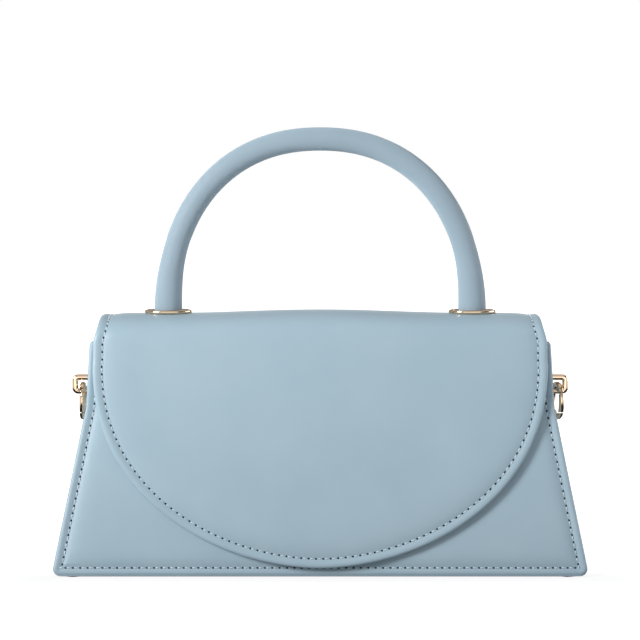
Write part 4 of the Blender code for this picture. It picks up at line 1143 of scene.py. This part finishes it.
def bright_steel(name, code):
    """Turned steel left bright: fine rings from the tool some 0.15 mm apart."""
    made, tree, shader, place = new_material(name, Base_Color=hex_colour(code), Metallic=1, Roughness=0.3)
    turned = {"Scale": BANDS / (0.15 * MM), "Distortion": 0.5}
    rings = add_node(tree, "ShaderNodeTexWave", {"bands_direction": "Z"}, turned, {"Vector": place})
    satin = {"To Min": 0.24, "To Max": 0.38}
    gloss = add_node(tree, "ShaderNodeMapRange", {}, satin, {"Value": rings.outputs[0]})
    tree.links.new(gloss.outputs[0], shader.inputs["Roughness"])
    return made


GOLD = polished_gold("polished_gold_plate", "ebd0b2", 0.13)
STEEL = bright_steel("turned_bright_steel", "c9cbcd")

for side_name, side in (("left", -1), ("right", 1)):
    def plate_place(column, row):
        turn = math.tau * column / PLATE_SIDES
        inset, up = PLATE_SECTION[row]
        grown = (PLATE_HALF_DEPTH - inset * MM) / PLATE_HALF_DEPTH
        wide = max(PLATE_HALF_WIDTH - inset * MM, 0) if inset < 3 else PLATE_HALF_WIDTH * grown
        across = side * HANDLE_HALF + wide * math.cos(turn)
        return Vector((across, PLATE_HALF_DEPTH * grown * math.sin(turn), PLATE_LOW + up * MM))

    plate_name = "handle_plate_" + side_name
    plate = wrapped_grid(plate_name + "_gold", PLATE_SIDES, len(PLATE_SECTION) - 1, plate_place)
    finish_piece(plate, "flap", [plate_name], [GOLD], 50)

fixings = ["handle_insert_left", "handle_insert_right", "handle_screw_left", "handle_screw_right"]
refinish(fixings, STEEL)


# Closure magnets and backing plates.
# Two nickelled steel discs hold the flap shut through the leather, one in the flap and one in the front
# board. Steel plates behind the gussets take the bridges' ends. None of them shows.

refinish(["flap_magnet", "front_magnet", "bridge_plate_left", "bridge_plate_right"], STEEL)


# Side bridges.
# A flat zinc bar bent to a square arch, polished and gold plated. Its two ends pass through the gusset and
# are spread against the backing plate inside, so it can't turn.

BRIDGE = 2.4 * MM
BRIDGE_CORNER = 2.9 * MM
BRIDGE_FULL = 0.45 * MM
BRIDGE_INNER = 0.5 * MM
BRIDGE_EDGE = 1.15 * MM


def soften_edges(piece, width, segments, angle, clamp):
    """Round off a piece's edges that are sharper than an angle in degrees."""
    soften = piece.modifiers.new("soft_edge", "BEVEL")
    soften.width = width
    soften.segments = segments
    soften.limit_method = "ANGLE"
    soften.angle_limit = math.radians(angle)
    soften.use_clamp_overlap = clamp
    bpy.context.view_layer.objects.active = piece
    bpy.ops.object.modifier_apply(modifier=soften.name)


def bent_bar(name, outline, place, half, edge):
    """A flat outline drawn out to a bar of some depth, its edges rounded."""
    piece = new_piece(name, [(*point, 0) for point in outline], [list(range(len(outline)))])
    bpy.ops.object.select_all(action="DESELECT")
    bpy.context.view_layer.objects.active = piece
    piece.select_set(True)
    bpy.ops.object.mode_set(mode="EDIT")
    bpy.ops.mesh.select_all(action="SELECT")
    bpy.ops.mesh.extrude_region_move(TRANSFORM_OT_translate={"value": (0, 0, 1)})
    bpy.ops.object.mode_set(mode="OBJECT")
    for vert in piece.data.vertices:
        vert.co = place(vert.co.x, vert.co.y, half * (2 * vert.co.z - 1))
    close_up(piece)
    soften_edges(piece, edge, 5, 60, False)
    return piece


for side_name, side in (("left", -1), ("right", 1)):
    low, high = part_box("bridge_" + side_name)
    inner, outer = sorted((abs(low[0]), abs(high[0])))
    bottom, top = low[2], high[2]
    turns = [(inner, top, 0), (outer, top, BRIDGE_CORNER), (outer, bottom, BRIDGE_CORNER), (inner, bottom, 0)]
    arch = rounded(turns, 8)
    thick = BRIDGE + BRIDGE_FULL
    hollow = [(inner, top - thick, 0), (outer - thick, top - thick, BRIDGE_INNER)]
    hollow += [(outer - thick, bottom + BRIDGE, BRIDGE_INNER), (inner, bottom + BRIDGE, 0)]
    bridge = bent_bar(
        "bridge_" + side_name + "_gold",
        arch + rounded(hollow, 4)[::-1],
        lambda out, up, across: Vector((side * out, across, up)),
        high[1],
        BRIDGE_EDGE,
    )
    finish_piece(bridge, "bag", ["bridge_" + side_name], [GOLD], 35)


# Side rings and their gates.
# Oval rings of round brass wire, polished and gold plated, that swing in the bridges. The front of each is a
# sprung gate: its flat tongue turns on a pin in the ring's fork, and its free end rests on a small step.

RING_OUT = 114.812 * MM
RING_MIDDLE = 80.534 * MM
RING_HALF_DEPTH = 6.1 * MM
RING_HALF_HEIGHT = 7.8 * MM
RING_WIRE = 1.4 * MM
RING_POWER = 2.3
GATE_HALF = 5.3 * MM
GATE_WIRE = 1.3 * MM
GATE_CUT = math.radians(23)
GATE_STEP = 0.4 * MM
EAR_REACH = 1.1 * MM
GATE_REACH = 1.9 * MM
TONGUE = 0.8 * MM
TONGUE_RADIUS = 1 * MM
TONGUE_FIT = 0.15 * MM
TONGUE_EDGE = 0.08 * MM
PIN_RADIUS = 0.5 * MM
PIN_FIT = 0.06 * MM
PIN_EDGE = 0.15 * MM
WIRE_EDGE = 0.12 * MM
CUT_REACH = 3.4 * MM
WIRE_SIDES = 24
gate_angle = math.asin((GATE_HALF / RING_HALF_HEIGHT) ** (RING_POWER / 2))


def ring_point(angle):
    """The wire's centre line in the ring's own plane, (forward, up) from its middle."""
    forward = RING_HALF_DEPTH * signed_power(math.cos(angle), 2 / RING_POWER)
    return Vector((forward, RING_HALF_HEIGHT * signed_power(math.sin(angle), 2 / RING_POWER)))


def ring_angle(start, reach):
    """The angle at which the centre line is some distance from where it is at another angle."""
    angle = start
    while (ring_point(angle) - ring_point(start)).length < abs(reach):
        angle += math.copysign(0.002, reach)
    return angle


def cut_away(piece, tool, operation="DIFFERENCE"):
    """Take a tool's shape out of a piece, or join it on."""
    change = piece.modifiers.new("cut", "BOOLEAN")
    change.operation = operation
    change.object = tool
    bpy.context.view_layer.objects.active = piece
    bpy.ops.object.modifier_apply(modifier=change.name)
    bpy.data.objects.remove(tool, do_unlink=True)


def box_tool(low, high, place):
    """A plain block between two corners, put in place as a cutting tool."""
    bpy.ops.mesh.primitive_cube_add(size=1)
    tool = bpy.context.object
    for vert in tool.data.vertices:
        vert.co = place @ Vector([(a + b) / 2 + share * (b - a) for a, b, share in zip(low, high, vert.co)])
    return tool


def pin_tool(place, radius, reach):
    """A round bar along a frame's X axis."""
    bpy.ops.mesh.primitive_cylinder_add(vertices=24, radius=radius, depth=2 * reach)
    tool = bpy.context.object
    tool.data.transform(place @ Matrix.Rotation(math.pi / 2, 4, "Y"))
    return tool


def ring_wire(name, place, start, end, radius, steps):
    """Round wire along part of the ring, its ends cut square and eased."""
    across = (place.to_3x3() @ Vector((1, 0, 0))).normalized()
    stations = []
    for step in range(steps + 1):
        angle = start + (end - start) * step / steps
        here = ring_point(angle)
        ahead = ring_point(angle + 0.01) - ring_point(angle - 0.01)
        tangent = (place.to_3x3() @ Vector((0, -ahead.x, ahead.y))).normalized()
        stations.append((place @ Vector((0, -here.x, here.y)), tangent, radius))
    return round_bar(name, eased_ends(stations, WIRE_EDGE), across, WIRE_SIDES)


for side_name, side, yaw in (("left", -1, 0), ("right", 1, math.radians(15))):
    place = Matrix.Translation((side * RING_OUT, 0, RING_MIDDLE)) @ Matrix.Rotation(yaw, 4, "Z")
    pin = ring_point(gate_angle)
    pin_frame = place @ Matrix.Translation((0, -pin.x, pin.y))
    root = GATE_REACH + GATE_WIRE
    tilt = pin - ring_point(ring_angle(gate_angle, -root))
    pin_along = pin_frame @ Matrix.Rotation(-math.atan2(-tilt.x, tilt.y), 4, "X")
    wide = CUT_REACH

    ear = ring_angle(gate_angle, -EAR_REACH)
    ring = ring_wire("ring_" + side_name + "_gold", place, ear, math.tau - gate_angle / 2, RING_WIRE, 90)
    free_low = (-wide, -RING_HALF_DEPTH - wide, -pin.y - GATE_STEP / 2)
    cut_away(ring, box_tool(free_low, (wide, -RING_WIRE, 0), place))
    slot = TONGUE / 2 + TONGUE_FIT
    cut_away(ring, box_tool((-slot, -wide, -wide), (slot, wide, TONGUE_RADIUS + FIT), pin_along))
    cut_away(ring, pin_tool(pin_frame, PIN_RADIUS + PIN_FIT, wide))
    finish_piece(ring, "ring_" + side_name, ["ring_" + side_name], [GOLD], 35)

    shoulder = ring_angle(gate_angle, -GATE_REACH)
    gate = ring_wire("gate_" + side_name + "_gold", place, -gate_angle - GATE_CUT, shoulder, GATE_WIRE, 40)
    gate_low = (-wide, -RING_HALF_DEPTH - wide, -pin.y - RING_HALF_HEIGHT)
    cut_away(gate, box_tool(gate_low, (wide, RING_WIRE, -pin.y + GATE_STEP / 2), place))
    tongue = [Vector((TONGUE_RADIUS, -root))]
    for step in range(17):
        turn = math.pi * step / 16
        tongue.append(Vector((TONGUE_RADIUS * math.cos(turn), TONGUE_RADIUS * math.sin(turn))))
    tongue.append(Vector((-TONGUE_RADIUS, -root)))
    blade = bent_bar(
        "tongue",
        tongue,
        lambda out, up, across: pin_along @ Vector((across, out, up)),
        TONGUE / 2,
        TONGUE_EDGE,
    )
    cut_away(gate, blade, "UNION")
    cut_away(gate, pin_tool(pin_frame, PIN_RADIUS + PIN_FIT, wide))
    finish_piece(gate, "gate_" + side_name, ["gate_" + side_name], [GOLD], 35)

    rivet = pin_tool(pin_frame, PIN_RADIUS, RING_WIRE - PIN_FIT)
    rivet.name = "gate_pin_" + side_name + "_steel"
    soften_edges(rivet, PIN_EDGE, 3, 30, True)
    finish_piece(rivet, "ring_" + side_name, ["gate_pin_" + side_name], [STEEL], 35)


# Studio.
# A white floor that runs out of view, a large soft light at the upper left, and weaker ones at the right
# and above.

CAMERA_AIM = Vector((-0.1 * MM, -35 * MM, 122.2 * MM))
CAMERA_RISE = math.radians(4.2)
CAMERA_AWAY = 1.165
CAMERA_LENS = 139.6
FLOOR_SIZE = 8
FLOOR_AIR = 0.05 * MM
FRONT_EDGE = 38 * MM
FLOOR_GLOW = 0.45
MIRROR_POWER = 1.6

bpy.ops.mesh.primitive_plane_add(size=FLOOR_SIZE, location=(0, 0, -FLOOR_AIR))
floor = bpy.context.object
floor.name = "studio_floor"
floor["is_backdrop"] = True


def room_bands(tree, way):
    """How bright a mirror shows the room: white ahead, a dark stand left and right, and pale beyond them."""
    parts = add_node(tree, "ShaderNodeSeparateXYZ", links={0: way})
    aside = add_node(tree, "ShaderNodeMath", {"operation": "ABSOLUTE"}, links={0: parts.outputs["X"]})
    bands = add_node(tree, "ShaderNodeValToRGB", links={0: aside.outputs[0]})
    bands.color_ramp.elements[0].position = 0.5
    bands.color_ramp.elements[0].color = (1, 1, 1, 1)
    bands.color_ramp.elements[1].position = 0.92
    bands.color_ramp.elements[1].color = (0.6, 0.6, 0.6, 1)
    for stop, shade in ((0.62, 0.1), (0.8, 0.1)):
        bands.color_ramp.elements.new(stop).color = (shade, shade, shade, 1)
    return bands


white, tree, shader, place = new_material("studio_white", Roughness=0.9)
rays = add_node(tree, "ShaderNodeLightPath")
away = add_node(tree, "ShaderNodeVectorMath", {"operation": "LENGTH"}, links={0: place})
# the table is greyer under the bag than farther out, so that the bag's lower edge stays dark
paler = {"From Min": 0.14, "From Max": 0.3, "To Min": 0.3, "To Max": 0.95}
table = add_node(tree, "ShaderNodeMapRange", {}, paler, {"Value": away.outputs["Value"]})
tree.links.new(table.outputs[0], shader.inputs["Base Color"])
# the floor glows less along the bag's front edge, so that the bag's soft shadow shows there
spot = add_node(tree, "ShaderNodeSeparateXYZ", links={0: place})
behind = add_node(tree, "ShaderNodeMath", {"operation": "ADD"}, {1: FRONT_EDGE}, {0: spot.outputs["Y"]})
off_edge = add_node(tree, "ShaderNodeMath", {"operation": "ABSOLUTE"}, links={0: behind.outputs[0]})
lighter = {"From Min": 6 * MM, "From Max": 30 * MM, "To Min": 1.85, "To Max": 2.3}
shown = add_node(tree, "ShaderNodeMapRange", {}, lighter, {"Value": off_edge.outputs[0]})
# polished metal shows the floor dark close to the bag and bright in front of it
brighter = {"From Min": 0.35, "From Max": 0.75, "To Min": 0.05, "To Max": 1.9}
near = add_node(tree, "ShaderNodeMapRange", {}, brighter, {"Value": away.outputs["Value"]})
outward = add_node(tree, "ShaderNodeVectorMath", {"operation": "NORMALIZE"}, links={0: place})
banded = {0: near.outputs[0], 1: room_bands(tree, outward.outputs[0]).outputs[0]}
mirrored = add_node(tree, "ShaderNodeMath", {"operation": "MULTIPLY"}, links=banded)
either = {0: rays.outputs["Is Glossy Ray"], 2: shown.outputs[0], 3: mirrored.outputs[0]}
strength = add_node(tree, "ShaderNodeMix", {"data_type": "FLOAT"}, links=either)
glow = add_node(tree, "ShaderNodeEmission", links={"Strength": strength.outputs[0]})
straight = {0: rays.outputs["Is Camera Ray"]}
seen = add_node(tree, "ShaderNodeMath", {"operation": "MULTIPLY"}, {1: FLOOR_GLOW}, straight)
greater = {0: seen.outputs[0], 1: rays.outputs["Is Glossy Ray"]}
share = add_node(tree, "ShaderNodeMath", {"operation": "MAXIMUM"}, links=greater)
layers = {0: share.outputs[0], 1: shader.outputs[0], 2: glow.outputs[0]}
mix = add_node(tree, "ShaderNodeMixShader", links=layers)
tree.links.new(mix.outputs[0], tree.nodes["Material Output"].inputs["Surface"])
floor.data.materials.append(white)

world = bpy.data.worlds.new("studio_world")
bpy.context.scene.world = world
world.use_nodes = True
tree = world.node_tree
sky = tree.nodes["Background"]
sky.inputs["Color"].default_value = (0.93, 0.96, 1, 1)
sky.inputs["Strength"].default_value = 0.3
backdrop = add_node(tree, "ShaderNodeBackground", {}, {"Color": (1, 1, 1, 1), "Strength": 1})
rays = add_node(tree, "ShaderNodeLightPath")
# what polished metal shows of the room: white up to a little over the horizon, then a dim wall and ceiling
way = add_node(tree, "ShaderNodeTexCoord")
parts = add_node(tree, "ShaderNodeSeparateXYZ", links={0: way.outputs["Generated"]})
room = add_node(tree, "ShaderNodeValToRGB", links={0: parts.outputs["Z"]})
room.color_ramp.elements[0].position = 0.12
room.color_ramp.elements[0].color = (1, 1, 1, 1)
room.color_ramp.elements[1].position = 0.8
room.color_ramp.elements[1].color = (0.4, 0.4, 0.41, 1)
for stop, shade in ((0.26, 0.34), (0.5, 0.22)):
    room.color_ramp.elements.new(stop).color = (shade, shade, shade, 1)
banded = {0: room_bands(tree, way.outputs["Generated"]).outputs[0]}
power = add_node(tree, "ShaderNodeMath", {"operation": "MULTIPLY"}, {1: MIRROR_POWER}, banded)
walls = {"Color": room.outputs[0], "Strength": power.outputs[0]}
mirrored = add_node(tree, "ShaderNodeBackground", links=walls)
layers = {0: rays.outputs["Is Glossy Ray"], 1: sky.outputs[0], 2: mirrored.outputs[0]}
lit = add_node(tree, "ShaderNodeMixShader", links=layers)
layers = {0: rays.outputs["Is Camera Ray"], 1: lit.outputs[0], 2: backdrop.outputs[0]}
mix = add_node(tree, "ShaderNodeMixShader", links=layers)
tree.links.new(mix.outputs[0], tree.nodes["World Output"].inputs["Surface"])


def soft_light(name, place, size, watts):
    """A square soft light that faces the bag."""
    bpy.ops.object.light_add(type="AREA", location=place)
    lamp = bpy.context.object
    lamp.name = name
    lamp.data.size = size
    lamp.data.energy = watts
    lamp.rotation_euler = (Vector((0, 0, 80 * MM)) - Vector(place)).to_track_quat("-Z", "Y").to_euler()


soft_light("key_light", (-1.4, -1.08, 0.85), 0.6, 34.5)
soft_light("fill_light", (1.7, 0.3, 0.55), 1.2, 14)
soft_light("top_light", (0, 0.2, 1.6), 1.2, 0.5)

bpy.ops.object.camera_add()
camera = bpy.context.object
camera.data.lens = CAMERA_LENS
camera.data.sensor_width = 36
toward = Vector((0, -math.cos(CAMERA_RISE), math.sin(CAMERA_RISE)))
camera.location = CAMERA_AIM + toward * CAMERA_AWAY
camera.rotation_euler = (-toward).to_track_quat("-Z", "Y").to_euler()
bpy.context.scene.camera = camera
bpy.context.scene.view_settings.view_transform = "Standard"

low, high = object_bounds()
